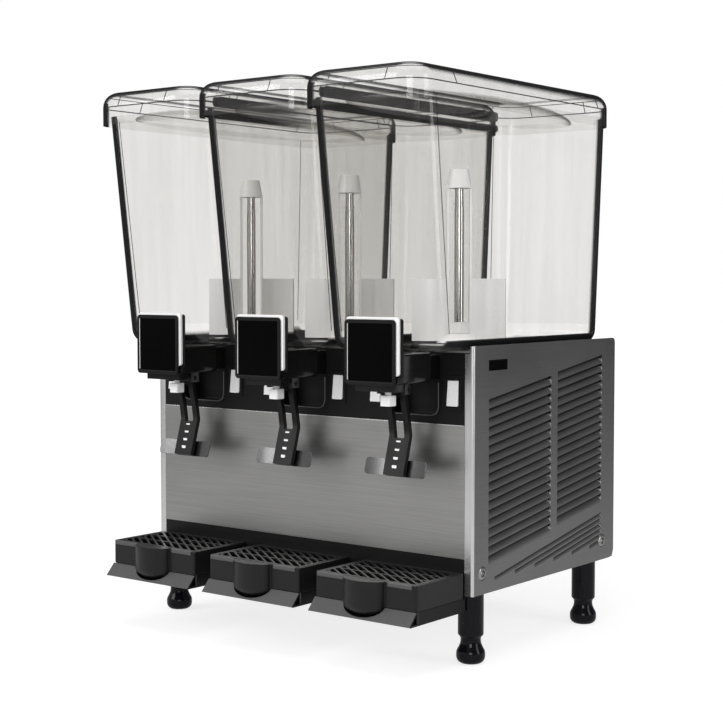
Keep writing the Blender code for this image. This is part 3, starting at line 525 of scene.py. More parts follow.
# each finish: its two colours, its range of roughness, how its streaks are drawn out along X, Y and Z, the
# strength and height of its relief, and what differs from a plain plastic
FINISHES = {
    "side_steel": ((grey(0.19), grey(0.235)), (0.34, 0.42), (3.0, 9.0, 1500.0),
                   (0.12, 0.0003), {"metallic": 1.0}),
    "front_steel": ((grey(0.31, 0.01), grey(0.38, 0.01)), (0.30, 0.38), (9.0, 3.0, 1500.0),
                    (0.12, 0.0003), {"metallic": 1.0}),
    # painted highlight: a far lighter copy of the side steel, for the folded front edge and the strip under the
    # fascia
    "painted_highlight_steel": ((grey(0.60), grey(0.74)), (0.24, 0.32), (1500.0, 1500.0, 9.0),
                     (0.08, 0.0002), {"metallic": 1.0}),
    "pad_steel": ((grey(0.09), grey(0.13)), (0.22, 0.30), (900.0, 900.0, 12.0),
                  (0.05, 0.0002), {"metallic": 1.0}),
    "bright_steel": ((grey(0.55), grey(0.66)), (0.18, 0.26), (900.0, 900.0, 12.0),
                     (0.05, 0.0002), {"metallic": 1.0}),
    "post_steel": ((grey(0.45, 0.03), grey(0.60, 0.03)), (0.10, 0.18), (700.0, 700.0, 20.0),
                   (0.04, 0.0002), {"metallic": 1.0}),
    "galvanised_steel": ((grey(0.42), grey(0.60)), (0.35, 0.55), (60.0, 60.0, 60.0),
                         (0.06, 0.0003), {"metallic": 1.0, "patch": 45.0}),
    "gloss_black": ((grey(0.006), grey(0.009)), (0.12, 0.20), (500.0, 500.0, 500.0),
                    (0.03, 0.0002), {"dust": 0.02, "specular": 0.45}),
    "sign_face": ((grey(0.0006), grey(0.0010)), (0.30, 0.40), (500.0, 500.0, 500.0),
                  (0.02, 0.0001), {"specular": 0.03}),
    "satin_black": ((grey(0.004), grey(0.006)), (0.32, 0.44), (900.0, 900.0, 900.0),
                    (0.10, 0.0002), {"dust": 0.02, "specular": 0.18}),
    "tray_black": ((grey(0.007), grey(0.011)), (0.26, 0.36), (800.0, 800.0, 800.0),
                   (0.10, 0.0002), {"dust": 0.03, "specular": 0.24}),
    "apron_grey": ((grey(0.060), grey(0.078)), (0.30, 0.40), (800.0, 800.0, 800.0),
                   (0.10, 0.0002), {"dust": 0.05, "specular": 0.40}),
    "leg_enamel": (((0.003, 0.003, 0.005), (0.005, 0.005, 0.008)), (0.08, 0.14), (300.0, 300.0, 300.0),
                   (0.02, 0.0002), {"dust": 0.01, "specular": 0.16}),
    "white_moulding": ((grey(0.86), grey(0.92)), (0.28, 0.40), (400.0, 400.0, 400.0), (0.04, 0.0002), {}),
    "seal_rubber": ((grey(0.02), grey(0.035)), (0.6, 0.8), (600.0, 600.0, 600.0), (0.2, 0.0003), {}),
    "fin_metal": (((0.45, 0.40, 0.35), (0.60, 0.54, 0.48)), (0.35, 0.55), (50.0, 1800.0, 50.0),
                  (0.5, 0.0006), {"metallic": 1.0}),
    # painted shade: the matte black of the sheets behind the louvres
    "liner_black": ((grey(0.004), grey(0.008)), (0.7, 0.9), (200.0, 200.0, 200.0),
                    (0.1, 0.0002), {"specular": 0.2}),
}


@functools.cache
def clear_plastic(name="clear_corner", start=0.30, end=0.52, level_from=0.55, level_to=0.98, strongest=1.0):
    """See-through moulding with painted shade: a dark shader mixed in where it turns edge-on, standing in for
    the dark surroundings seen through its edges, with a thin reflection over it.

    start and end are where the darkening begins and is full. Faces that look up or down more than level_from
    fade to clear at level_to.
    """
    finishes = bpy.context.scene.dispenser_finishes
    material, tree, dark = new_material(name)
    dark.inputs["Base Color"].default_value = (0.010, 0.010, 0.011, 1)
    dark.inputs["Roughness"].default_value = 0.6
    dark.inputs["Specular IOR Level"].default_value = 0.05
    place = tree.nodes.new("ShaderNodeTexCoord").outputs
    clouds = placed_group(tree, streaks_group(), Vector=place["Object"], Stretch=(45.0, 45.0, 2.5), Detail=2.0)
    tint = blended(tree, clouds.outputs["Value"], (*finishes.clear_tint, 1), (*finishes.clear_light, 1))
    through = new_node(tree, "ShaderNodeBsdfTransparent", inputs={"Color": tint})
    shine = new_node(tree, "ShaderNodeBsdfGlossy", inputs={"Color": (1, 1, 1, 1), "Roughness": 0.12})
    glance = new_node(tree, "ShaderNodeFresnel", inputs={"IOR": 1.4})
    front = maths(tree, "SUBTRACT", 1.0, tree.nodes.new("ShaderNodeNewGeometry").outputs["Backfacing"])
    mirror = maths(tree, "MINIMUM", maths(tree, "MULTIPLY", glance.outputs[0], front), 0.10)
    pane = layered(tree, mirror, through.outputs[0], shine.outputs[0])
    weight = new_node(tree, "ShaderNodeLayerWeight", inputs={"Blend": 0.5})
    edge = ranged(tree, weight.outputs["Facing"], start, end, 0.0, strongest)
    parts = new_node(tree, "ShaderNodeSeparateXYZ", inputs={0: place["Normal"]})
    upright = ranged(tree, maths(tree, "ABSOLUTE", parts.outputs[2]), level_from, level_to, 1.0, 0.0)
    # painted shade: the dark shader takes over on upright faces seen edge-on
    mixed = layered(tree, maths(tree, "MULTIPLY", edge, upright), pane, dark.outputs[0])
    tree.links.new(mixed, tree.nodes["Material Output"].inputs["Surface"])
    return material


def clear_pane():
    """The same plastic for a flat floor or top, which never darkens."""
    return clear_plastic("clear_pane", strongest=0.0)


def clear_rim():
    """The same plastic for a rounded shoulder, whose painted shade darkens it whichever way it faces."""
    return clear_plastic("clear_rim", 0.52, 0.76, 1.5, 2.0)


def clear_line():
    """The same plastic for a thin bead or rib, which its painted shade shows mostly as a dark line."""
    return clear_plastic("clear_line", -0.6, 0.45, 1.5, 2.0, 0.85)


@functools.cache
def painted_shade_strip(name="painted_shade_strip", start=0.05, end=0.23, last=0.75):
    """Painted shade: a dark strip on a lid's side that faces its neighbour, for the shade between their walls,
    that thins out towards the back.
    """
    material, tree, shader = new_material(name)
    place = tree.nodes.new("ShaderNodeTexCoord").outputs
    parts = new_node(tree, "ShaderNodeSeparateXYZ", inputs={0: place["Object"]})
    streaks = placed_group(tree, streaks_group(), Vector=place["Object"], Stretch=(3.0, 3.0, 260.0))
    tint = blended(tree, streaks.outputs["Value"], (0.004, 0.004, 0.005, 1), (0.020, 0.018, 0.017, 1))
    tree.links.new(tint, shader.inputs["Base Color"])
    tree.links.new(ranged(tree, parts.outputs[1], start, end, 0.97, last), shader.inputs["Alpha"])
    shader.inputs["Roughness"].default_value = 0.4
    shader.inputs["Specular IOR Level"].default_value = 0.2
    return material


# ---------------------------------------------------------------- sizes and colours a user may change


class DISPENSER_PG_sizes(bpy.types.PropertyGroup):
    """Sizes of the pieces that the frame doesn't give."""

    bowl_wall: FloatProperty(name="Bowl wall", description="Thickness of a bowl's wall", default=0.003,
                             unit="LENGTH")
    bowl_corner: FloatProperty(name="Bowl corner", description="Radius of a bowl's upright corners",
                               default=0.030, unit="LENGTH")
    bowl_foot_radius: FloatProperty(name="Bowl foot radius", description="Radius of a bowl's lower edge",
                                    default=0.019, unit="LENGTH")
    lid_shoulder: FloatProperty(name="Lid shoulder", description="Radius of a lid's upper edge", default=0.020,
                                unit="LENGTH")
    slat_lean: FloatProperty(name="Slat lean", description="How far a louvre's upper edge is pushed in",
                             default=0.0064, unit="LENGTH")


class DISPENSER_PG_finishes(bpy.types.PropertyGroup):
    """Colours and light."""

    clear_tint: FloatVectorProperty(name="Clear tint", description="What the clear plastic lets through",
                                    default=(0.935, 0.932, 0.926), subtype="COLOR", min=0, max=1)
    clear_light: FloatVectorProperty(name="Clear streaks", description="What its lighter streaks let through",
                                     default=(0.962, 0.960, 0.956), subtype="COLOR", min=0, max=1)
    floor_colour: FloatVectorProperty(name="Floor colour", description="Colour of the floor",
                                      default=(0.36, 0.36, 0.36), subtype="COLOR", min=0, max=1)
    key_power: FloatProperty(name="Key light", description="Power of the large light in front", default=46.0,
                             unit="POWER")
    room_level: FloatProperty(name="Room level", description="Brightness of the surroundings in reflections",
                              default=0.55)


# ---------------------------------------------------------------- cabinet


def side_columns(front, back):
    """Each louvre column: its ends along Y, its first slat's foot, its count and its pitch."""
    start = front + 0.034
    return (
        (start, front + 0.181, 0.1205, 18, 0.01135),
        (front + 0.197, back - 0.036, 0.1345 + (front + 0.197 - start) * SLOPE - 0.0095, 18, 0.0112),
    )


def leaning_block(name, low, high, rise):
    """A box whose far end along Y is raised."""
    obj = block(name, low, high)
    pick(obj, "VERT", lambda vert: vert.co.y > (low[1] + high[1]) / 2)
    shift((0, 0, rise))
    release()
    return obj


def slat(name, outer, low_y, high_y, foot, height, lean, slope):
    """One pressed strip: its lower part flush with the panel, its upper edge rolled in."""
    wall = 0.0010
    obj = block(name, (outer - wall, low_y, foot), (outer, high_y, foot + height))
    for share in (0.30, 0.55, 0.80):
        edit(obj, "VERT")
        everything()
        bpy.ops.mesh.bisect(plane_co=(outer, 0, foot + share * height), plane_no=(0, 0, 1))
    for low_share, roll in ((0.50, 0.22), (0.75, 0.33), (0.95, 0.45)):
        pick(obj, "VERT", lambda vert, z=foot + low_share * height: vert.co.z > z)
        shift((-lean * roll, 0, 0))
    pick(obj, "VERT", lambda vert: vert.co.y > (low_y + high_y) / 2)
    shift((0, 0, (high_y - low_y) * slope))
    release()
    return smooth(obj, 40)


class DISPENSER_OT_side_panels(bpy.types.Operator):
    """Makes the louvred side panels with their folded front edges, black sheets of painted shade behind the
    louvres, bosses and screws
    """

    bl_idname = "dispenser.side_panels"
    bl_label = "Side panels"

    def execute(self, context):
        sizes = context.scene.dispenser_sizes
        low, high = span("side_panel_right")
        proud = 0.0012
        outer, front, back, foot, top = high.x - proud, low.y, high.y, low.z, high.z
        flange, bend, sheet = outer - low.x, 0.004, 0.002
        mid = sheet / 2
        fold = arc((outer - bend, front + bend), bend - mid, -90, 0, 6)
        chain = [(outer - flange, front + mid), *fold, (outer - mid, back)]
        points = [(x, y, foot) for x, y in chain]
        panel = folded("side_panel_new_right", points, (0, 0, top - foot), sheet)
        for level, radius in ((top, 0.006), (foot, 0.012)):
            corner = lambda point, z=level: abs(point.z - z) < TINY and abs(point.y - back) < TINY
            pick(panel, "EDGE", lengthways(0, corner))
            bevel(radius, 5)
        deep = 0.01  # how far the cutters reach past the sheet

        def window(low_y, high_y, start, height, slope):
            corners = (outer - deep, low_y, start), (outer + deep, high_y, start + height)
            return leaning_block("window", *corners, (high_y - low_y) * slope)

        windows = []
        slats = []
        for low_y, high_y, start, count, height in side_columns(front, back):
            windows.append(window(low_y, high_y, start, count * height, SLOPE))
            first = slat("slat", outer - 0.0002, low_y, high_y, start, height * 0.93, sizes.slat_lean, SLOPE)
            slats.append(first)
            slats.extend(copied(first, "slat", (0, 0, i * height)) for i in range(1, count))
        for i in range(6):
            low_y, high_y = front + 0.048 + 0.047 * i, front + 0.314
            start = 0.099 + 0.0012 * i
            windows.append(window(low_y, high_y, start, 0.0050, GROOVE_SLOPE))
            slats.append(slat("slat", outer - 0.0004, low_y, high_y, start, 0.0047, 0.0036, GROOVE_SLOPE))
        relief = (outer - flange - deep, front - deep, span("top_deck")[1].z - 0.001)
        windows.append(block("relief", relief, (outer - 0.005, front + 0.008, top + deep)))
        plate = ((outer - 0.0006, front + 0.034, 0.360), (outer + 0.0004, front + 0.075, 0.373))
        windows.append(block("badge_seat", (plate[0][0], plate[0][1] - 0.0003, plate[0][2] - 0.0003),
                             (plate[1][0], plate[1][1] + 0.0003, plate[1][2] + 0.0003)))
        screw_ys, screw_z = (front + 0.021, front + 0.318), 0.112
        windows.extend(rod("boss_seat", 0.0088, (outer - 0.0012, y, screw_z), (outer + deep, y, screw_z), 40)
                       for y in screw_ys)
        cut(panel, *windows)
        panel = smooth(soften(panel, 0.0005, 2, 40), 30)
        louvres = joined("louvres_right", *slats)
        # painted shade: a matte black sheet behind the louvres, for the dark inside of the cabinet seen through
        # their openings
        shade_sheet = block("liner_right", (outer - 0.0085, front + 0.030, foot + 0.010),
                      (outer - 0.0075, back - 0.030, top - 0.016))
        soften(shade_sheet, 0.0002, 1)
        ring = [(0, -0.0010), (0.0042, -0.0010), (0.0045, 0.0008), (0.0056, 0.0010), (0.0070, 0.0006),
                (0.0082, -0.0004), (0.0087, -0.0010), (0.0087, -0.0014), (0, -0.0014)]
        cap = [(0, 0.0006), (0.0018, 0.0005), (0.0028, 0.0001), (0.0032, -0.0005), (0.0032, -0.0011),
               (0, -0.0011)]
        bosses = []
        for y in screw_ys:
            base = turned("boss", ring, (0, 0, 0), 32)
            head = turned("head", cap, (0, 0, 0), 24)
            cut(head, block("slot", (-0.0040, -0.0005, -0.0004), (0.0040, 0.0005, 0.006)))
            screw = joined("screw", base, head)
            turned_by(screw, math.radians(90), "Y", (0, 0, 0))
            hold(screw)
            screw.location = (outer, y, screw_z)
            bpy.ops.object.transform_apply(location=True)
            bosses.append(smooth(screw, 40))
        screws = joined("side_screws_right", *bosses)
        badge = block("side_badge_right", (plate[0][0] + 0.0002, *plate[0][1:]), plate[1])
        pick(badge, "FACE", facing(OUT))
        inset(0.0007)
        inset(0.0002, -0.00015)
        release()
        smooth(soften(badge, 0.0002), 40)
        # the folded front edge takes the lighter steel: a painted highlight along the bend
        painted(panel, finish("side_steel"), (finish("painted_highlight_steel"), lambda face: face.normal.y < -0.25))
        for piece, slot_name, material in (
            (panel, "brushed_steel", None),
            (louvres, "brushed_steel", finish("side_steel")),
            (badge, "sign_black", finish("sign_face")),
            (shade_sheet, "black_plastic", finish("liner_black")),
            (screws, "brushed_steel", finish("front_steel")),
        ):
            name = piece.name
            other = copied(piece, name.replace("right", "left"))
            hold(other)
            other.scale = (-1, 1, 1)
            bpy.ops.object.transform_apply(scale=True)
            smooth(tidied(other), 30)
            is_panel = name.startswith("side_panel")
            placed(piece, "cabinet", "side_panel_right" if is_panel else None, material)
            placed(other, "cabinet", "side_panel_left" if is_panel else None, material)
        return {"FINISHED"}


class DISPENSER_OT_cabinet_front(bpy.types.Operator):
    """Makes the black fascia, the steel front panel and the rocker switches"""

    bl_idname = "dispenser.cabinet_front"
    bl_label = "Cabinet front"

    def execute(self, context):
        moulding = from_node("fascia", "fascia_moulding", 0.0006)
        placed(moulding, "cabinet", "fascia", finish("satin_black"))
        low, high = span("front_panel")
        edge_z = span("fascia")[0].z
        # painted highlight: a thin bright steel strip under the fascia, for the light line along the panel's top
        # edge
        lip = block("panel_highlight_strip", (low.x + 0.001, low.y - 0.0005, edge_z - 0.0012),
                    (high.x - 0.001, low.y + 0.0004, edge_z - 0.0002))
        placed(smooth(soften(lip, 0.0002, 2), 40), "cabinet", None, finish("painted_highlight_steel"))
        sheet = from_node("front_panel", "front_sheet", 0.0004)
        placed(sheet, "cabinet", "front_panel", finish("front_steel"))
        for use in ("stir", "chill"):
            for module in MODULES:
                node = f"{use}_rocker_{module}"
                key = from_node(node, f"{use}_key_{module}", 0.0012, 3)
                placed(key, node, node, finish("white_moulding"))
        return {"FINISHED"}


# ---------------------------------------------------------------- bowls and lids


def rounded_tub(name, foot, rim, corner, edge_radius, open_top, corner_steps=10, edge_steps=7):
    """An open rounded box. foot and rim are (half width, low y, high y, z)."""
    obj = block(name, (-foot[0], foot[1], foot[3]), (foot[0], foot[2], rim[3]))
    pick(obj, "VERT", lambda vert: vert.co.z > (foot[3] + rim[3]) / 2)
    ratio = (rim[0] / foot[0], (rim[2] - rim[1]) / (foot[2] - foot[1]), 1)
    old_middle = Vector((0, (foot[1] + foot[2]) / 2, rim[3]))
    bpy.ops.transform.resize(value=ratio, center_override=old_middle)
    shift((0, (rim[1] + rim[2]) / 2 - old_middle.y, 0))
    pick(obj, "EDGE", lambda edge: abs(edge.verts[0].co.z - edge.verts[1].co.z) > 0.01)
    bevel(corner, corner_steps)
    closed, opened = (foot[3], rim[3]) if open_top else (rim[3], foot[3])
    pick(obj, "EDGE", lambda edge: all(abs(vert.co.z - closed) < TINY for vert in edge.verts))
    bevel(edge_radius, edge_steps)
    pick(obj, "FACE", lambda face: all(abs(vert.co.z - opened) < TINY for vert in face.verts))
    bpy.ops.mesh.delete(type="FACE")
    release()
    return obj


def is_flat(face):
    """True for a face of a wall, floor or top, and not of a rounded corner."""
    return max(abs(part) for part in face.normal) > 0.985


def bead(name, half, low_y, high_y, corner, level, radius):
    """A thin round bead along a rounded rectangle."""
    release()
    bpy.ops.mesh.primitive_plane_add(size=1, location=(0, (low_y + high_y) / 2, level))
    bpy.context.active_object.scale = (2 * half, high_y - low_y, 1)
    obj = named(name)
    edit(obj, "VERT")
    everything()
    bpy.ops.mesh.bevel(offset=corner, offset_pct=0, segments=8, affect="VERTICES")
    everything()
    bpy.ops.mesh.delete(type="ONLY_FACE")
    tube(obj, radius).data.bevel_resolution = 2
    bpy.ops.object.convert(target="MESH")
    return tidied(bpy.context.active_object)


class DISPENSER_OT_bowls(bpy.types.Operator):
    """Makes the clear bowls"""

    bl_idname = "dispenser.bowls"
    bl_label = "Bowls"

    def execute(self, context):
        sizes = context.scene.dispenser_sizes
        low, high = span("bowl_middle")
        seal_low, seal_high = span("bowl_seal_middle")
        stir_y = (seal_low.y + seal_high.y) / 2
        opening = (seal_high.x - seal_low.x) / 2 + 0.0006
        half_rim = (high.x - low.x) / 2
        foot = (half_rim - 0.0042, low.y + 0.034, high.y - 0.013, low.z)
        rim = (half_rim, low.y, high.y, high.z)
        tub = rounded_tub("bowl_master", foot, rim, sizes.bowl_corner, sizes.bowl_foot_radius, True)
        thicken(tub, sizes.bowl_wall)
        hole = rod("hole", opening, (0, stir_y, low.z - 0.01), (0, stir_y, low.z + 0.01), 48)
        outlet_y = span("valve_plunger_middle")[0].y + 0.0077
        outlet = rod("outlet", 0.009, (0, outlet_y, low.z - 0.01), (0, outlet_y, low.z + 0.01), 32)
        cut(tub, hole, outlet)
        smooth(tub, 40)
        painted(tub, clear_plastic(), (clear_pane(), is_flat))
        for_each_bowl(tub, "clear_bowl", "bowl", "bowl")
        # painted shade: thin dark lines inside the wall along the four upright corners, for the dark edges of
        # the corners seen through the bowl
        within, corner = sizes.bowl_wall / 2, sizes.bowl_corner
        corner_lines = []
        for side in (-1, 1):
            for foot_y, rim_y in ((foot[1] + corner, rim[1] + corner), (foot[2] - corner, rim[2] - corner)):
                corner_lines.append(rod("corner_line", 0.0005, (side * (foot[0] - within + 0.0003), foot_y, low.z + 0.024),
                                 (side * (rim[0] - within), rim_y, high.z - 0.003), 8))
        lines = smooth(joined("seams_master", *corner_lines), 50)
        for_each_bowl(lines, "bowl_seams", "bowl", None, clear_line())
        return {"FINISHED"}


class DISPENSER_OT_lids(bpy.types.Operator):
    """Makes the clear lids with their beads, ribs and inner vaults"""

    bl_idname = "dispenser.lids"
    bl_label = "Lids"

    def execute(self, context):
        sizes = context.scene.dispenser_sizes
        low, high = span("lid_middle")
        half = (high.x - low.x) / 2
        skirt = (half, low.y, high.y, low.z)
        crown = (half, low.y, high.y, high.z)
        corner = 0.034
        shell = rounded_tub("lid_master", skirt, crown, corner, sizes.lid_shoulder, False)
        thicken(shell, 0.0016)
        smooth(shell, 40)
        painted(shell, clear_rim(), (clear_plastic(), lambda face: abs(face.normal.z) < 0.2),
                (clear_pane(), is_flat))
        for_each_bowl(shell, "clear_lid", "lid", "lid")
        # the beads along the shoulder and step and the ribs between them are real shapes; clear_line draws them
        # as dark lines of painted shade
        inner, shoulder = 0.0022, 0.0085  # how far in the lower and the upper bead lie
        step_z, edge_z = high.z - 0.0205, high.z - 0.0060
        lines = []
        for level, radius, in_by in ((edge_z, 0.0005, shoulder), (step_z, 0.0007, inner)):
            lines.append(bead("line", half - in_by, low.y + in_by, high.y - in_by, corner - in_by, level,
                              radius))
        for x in (-0.043, 0.043):
            for wall, way in ((low.y, 1), (high.y, -1)):
                ends = (x, wall + way * inner, step_z), (x, wall + way * shoulder, edge_z)
                lines.append(rod("rib", 0.0006, *ends, 8))
        for y in (low.y + 0.085, high.y - 0.045):
            for way in (-1, 1):
                ends = (way * (half - inner), y, step_z), (way * (half - shoulder), y, edge_z)
                lines.append(rod("rib", 0.0006, *ends, 8))
        beads = smooth(joined("lines_master", *lines), 50)
        for_each_bowl(beads, "lid_lines", "lid", None, clear_line())
        release()
        bpy.ops.mesh.primitive_uv_sphere_add(segments=64, ring_count=32, radius=1,
                                             location=(0, (low.y + high.y) / 2, high.z - 0.0400))
        vault = bpy.context.active_object
        vault.scale = (half - 0.006, (high.y - low.y) / 2 - 0.006, 0.0250)
        named("vault_master")
        edit(vault, "VERT")
        everything()
        bpy.ops.mesh.bisect(plane_co=(0, 0, high.z - 0.0385), plane_no=(0, 0, 1), clear_inner=True)
        release()
        thicken(vault, 0.0012)
        smooth(vault, 50)
        painted(vault, clear_plastic("clear_vault", 0.60, 0.86, 0.80, 0.99, 0.35))
        for_each_bowl(vault, "lid_vault", "lid", None)
        # painted shade: dark strips in two bands near the skirt, on the sides where lids meet
        bands = ((-0.205, low.z + 0.003, low.z + 0.0125), (-0.185, low.z + 0.018, low.z + 0.031))
        for side, module, long in ((1, "left", False), (-1, "middle", False), (1, "middle", True),
                                   (-1, "right", True)):
            strips = []
            near_x, far_x = sorted((side * (half - 0.0034), side * (half - 0.0042)))
            for near_y, foot, top in bands:
                strip = block("strip", (near_x, near_y, foot), (far_x, 0.205, top))
                pick(strip, "EDGE", lengthways(0))
                bevel(0.0040, 4)
                release()
                strips.append(smooth(soften(strip, 0.0002, 1), 40))
            master = joined("strip_master", *strips)
            material = painted_shade_strip() if long else painted_shade_strip("short_painted_shade_strip", -0.16, 0.04, 0.0)
            name = "lid_shade_right" if side > 0 else "lid_shade_left"
            for_each_bowl(master, name, "lid", None, material, (module,))
        return {"FINISHED"}


# ---------------------------------------------------------------- paddles and evaporators


class DISPENSER_OT_paddles(bpy.types.Operator):
    """Makes the stirring paddles and the chilled domes with their posts"""

    bl_idname = "dispenser.paddles"
    bl_label = "Paddles and domes"

    def execute(self, context):
        low, high = span("evaporator_middle")
        y = (low.y + high.y) / 2
        radius = (high.x - low.x) / 2
        post, dome = 0.006, low.z + 0.0062
        profile = [
            (0, high.z), (post - 0.0008, high.z), (post, high.z - 0.0008), (post, high.z - 0.004),
            (post - 0.0006, high.z - 0.0045), (post - 0.0006, high.z - 0.0265), (post, high.z - 0.027),
            (post, dome + 0.003), (post + 0.003, dome), (radius * 0.88, dome), (radius * 0.96, dome - 0.0010),
            (radius, dome - 0.0030), (radius, low.z), (0, low.z),
        ]
        column = smooth(turned("evaporator_master", profile, (0, y, 0), 48), 40)
        for_each_bowl(column, "chilled_dome", "cabinet", "evaporator", finish("post_steel"))
        section = [(0.0062, 0.0006), (0.0072, 0.0003), (0.0072, -0.0003), (0.0062, -0.0006), (0.0062, 0.0006)]
        ring = smooth(turned("ring_master", section, (0, y, high.z - 0.0230), 40), 40)
        for_each_bowl(ring, "post_ring", "cabinet", None, finish("bright_steel"))
        for module in MODULES:
            paddle = from_node(f"paddle_{module}", f"stirring_paddle_{module}", 0.0006)
            placed(paddle, f"paddle_{module}", f"paddle_{module}", finish("white_moulding"))
        return {"FINISHED"}


# ---------------------------------------------------------------- valves, levers and signs


class DISPENSER_OT_valves(bpy.types.Operator):
    """Makes the valve blocks, outlet plugs, levers and cup pads"""

    bl_idname = "dispenser.valves"
    bl_label = "Valves and levers"

    def execute(self, context):
        parts = (
            ("valve_body", "valve_block", "bowl", "black_plastic", "gloss_black", 0.0008),
            ("valve_plunger", "outlet_plug", "valve_plunger", "white_plastic", "white_moulding", 0.0006),
            ("lever", "push_lever", "lever", "black_plastic", "satin_black", 0.0008),
        )
        for module in MODULES:
            for node, name, body, slot, look, width in parts:
                piece = from_node(f"{node}_{module}", f"{name}_{module}", width)
                placed(piece, f"{body}_{module}", f"{node}_{module}", finish(look))
        # painted highlight: a thin grey bead round the valve pocket, lighter than the black fascia, for the
        # light along its rounded edge
        front, foot = span("fascia")[0].y - 0.0002, span("fascia")[0].z + 0.0100
        left_half = [(-0.0387, 0.345), (-0.0387, foot + 0.010), (-0.0358, foot + 0.0029), (-0.0287, foot)]
        outline = left_half + [(-x, z) for x, z in reversed(left_half)]
        rim = line("pocket_edge_highlight", [(x, front, z) for x, z in outline])
        tube(rim, 0.0007, capped=True)
        bpy.ops.object.convert(target="MESH")
        rim = smooth(tidied(bpy.context.active_object), 50)
        for_each_bowl(rim, "pocket_edge_highlight", "cabinet", None, finish("apron_grey"))
        half = span("lever_pad_middle")[1].x - 0.0002
        curl = [(share * half, -0.1502 - 0.0067 * share * share, 0.2300 + 0.0016 * share * share)
                for share in (-1, -0.85, -0.7, -0.5, -0.25, 0, 0.25, 0.5, 0.7, 0.85, 1)]
        pad = folded("pad_master", curl, (0, 0.0058, 0.0202), 0.0014)
        pick(pad, "EDGE", lambda edge: edge.calc_length() < 0.0025
             and abs((edge.verts[0].co.x + edge.verts[1].co.x) / 2) > half - 0.0012)
        bevel(0.0045, 5)
        release()
        smooth(soften(pad, 0.0003, 2), 40)
        for_each_bowl(pad, "cup_pad", "lever", "lever_pad", finish("pad_steel"))
        low = span("lever_middle")[0]
        knee, tip = Vector((0, low.y + 0.0170, low.z + 0.050)), Vector((0, low.y + 0.0028, low.z + 0.003))
        ribs = []
        for i in range(4):
            middle = knee.lerp(tip, 0.20 + 0.21 * i)
            rib = block("rib", middle - Vector((0.0035, 0.0018, 0.0026)),
                        middle + Vector((0.0035, 0.0004, 0.0026)))
            ribs.append(soften(rib, 0.0006, 2))
        for_each_bowl(smooth(joined("rib_master", *ribs), 40), "lever_ribs", "lever", None,
                      finish("white_moulding"))
        return {"FINISHED"}


class DISPENSER_OT_signs(bpy.types.Operator):
    """Makes the blank sign plates with their frames"""

    bl_idname = "dispenser.signs"
    bl_label = "Sign plates"

    def execute(self, context):
        low, high = span("sign_holder_middle")
        depth = high.y - low.y
        front_y, back_y = low.y + 0.30 * depth, low.y + 0.78 * depth

        def layer(name, near, far, corner):
            made = block(f"{name}_master", near, far)
            pick(made, "EDGE", lengthways(1))
            bevel(corner, 5)
            return made

        plate = layer("sign_plate", low, (high.x - 0.0035, front_y, high.z - 0.0030), 0.005)
        pick(plate, "FACE", facing(-BACKWARD))
        inset(0.0040)
        inset(0.0006, -0.0008)
        release()
        smooth(soften(plate, 0.0004), 30)
        painted(plate, finish("satin_black"),
                (finish("sign_face"), lambda face: face.center.y > low.y + 0.0007 and face.normal.y < -0.9
                 and abs(face.center.x) < 0.036 and face.area > 1e-5))
        for_each_bowl(plate, "sign_plate", "bowl", "sign_holder")
        bezel = layer("sign_bezel", (low.x + 0.001, front_y, low.z + 0.012), (high.x, back_y, high.z), 0.004)
        smooth(soften(bezel, 0.0004), 30)
        for_each_bowl(bezel, "sign_bezel", "bowl", None, finish("white_moulding"))
        back = layer("sign_back", (low.x + 0.004, back_y, low.z + 0.010),
                     (high.x + 0.0035, high.y, high.z - 0.002), 0.003)
        smooth(soften(back, 0.0004), 30)
        for_each_bowl(back, "sign_back", "bowl", None, finish("satin_black"))
        edge_x = low.x + 0.0042
        glint = block("glint_master", (edge_x, low.y + 0.0001, low.z + 0.006),
                      (edge_x + 0.0006, low.y + 0.0009, high.z - 0.008))
        soften(glint, 0.0001, 1)
        for_each_bowl(glint, "sign_glint", "bowl", None, finish("white_moulding"))
        return {"FINISHED"}


# ---------------------------------------------------------------- trays and bracket


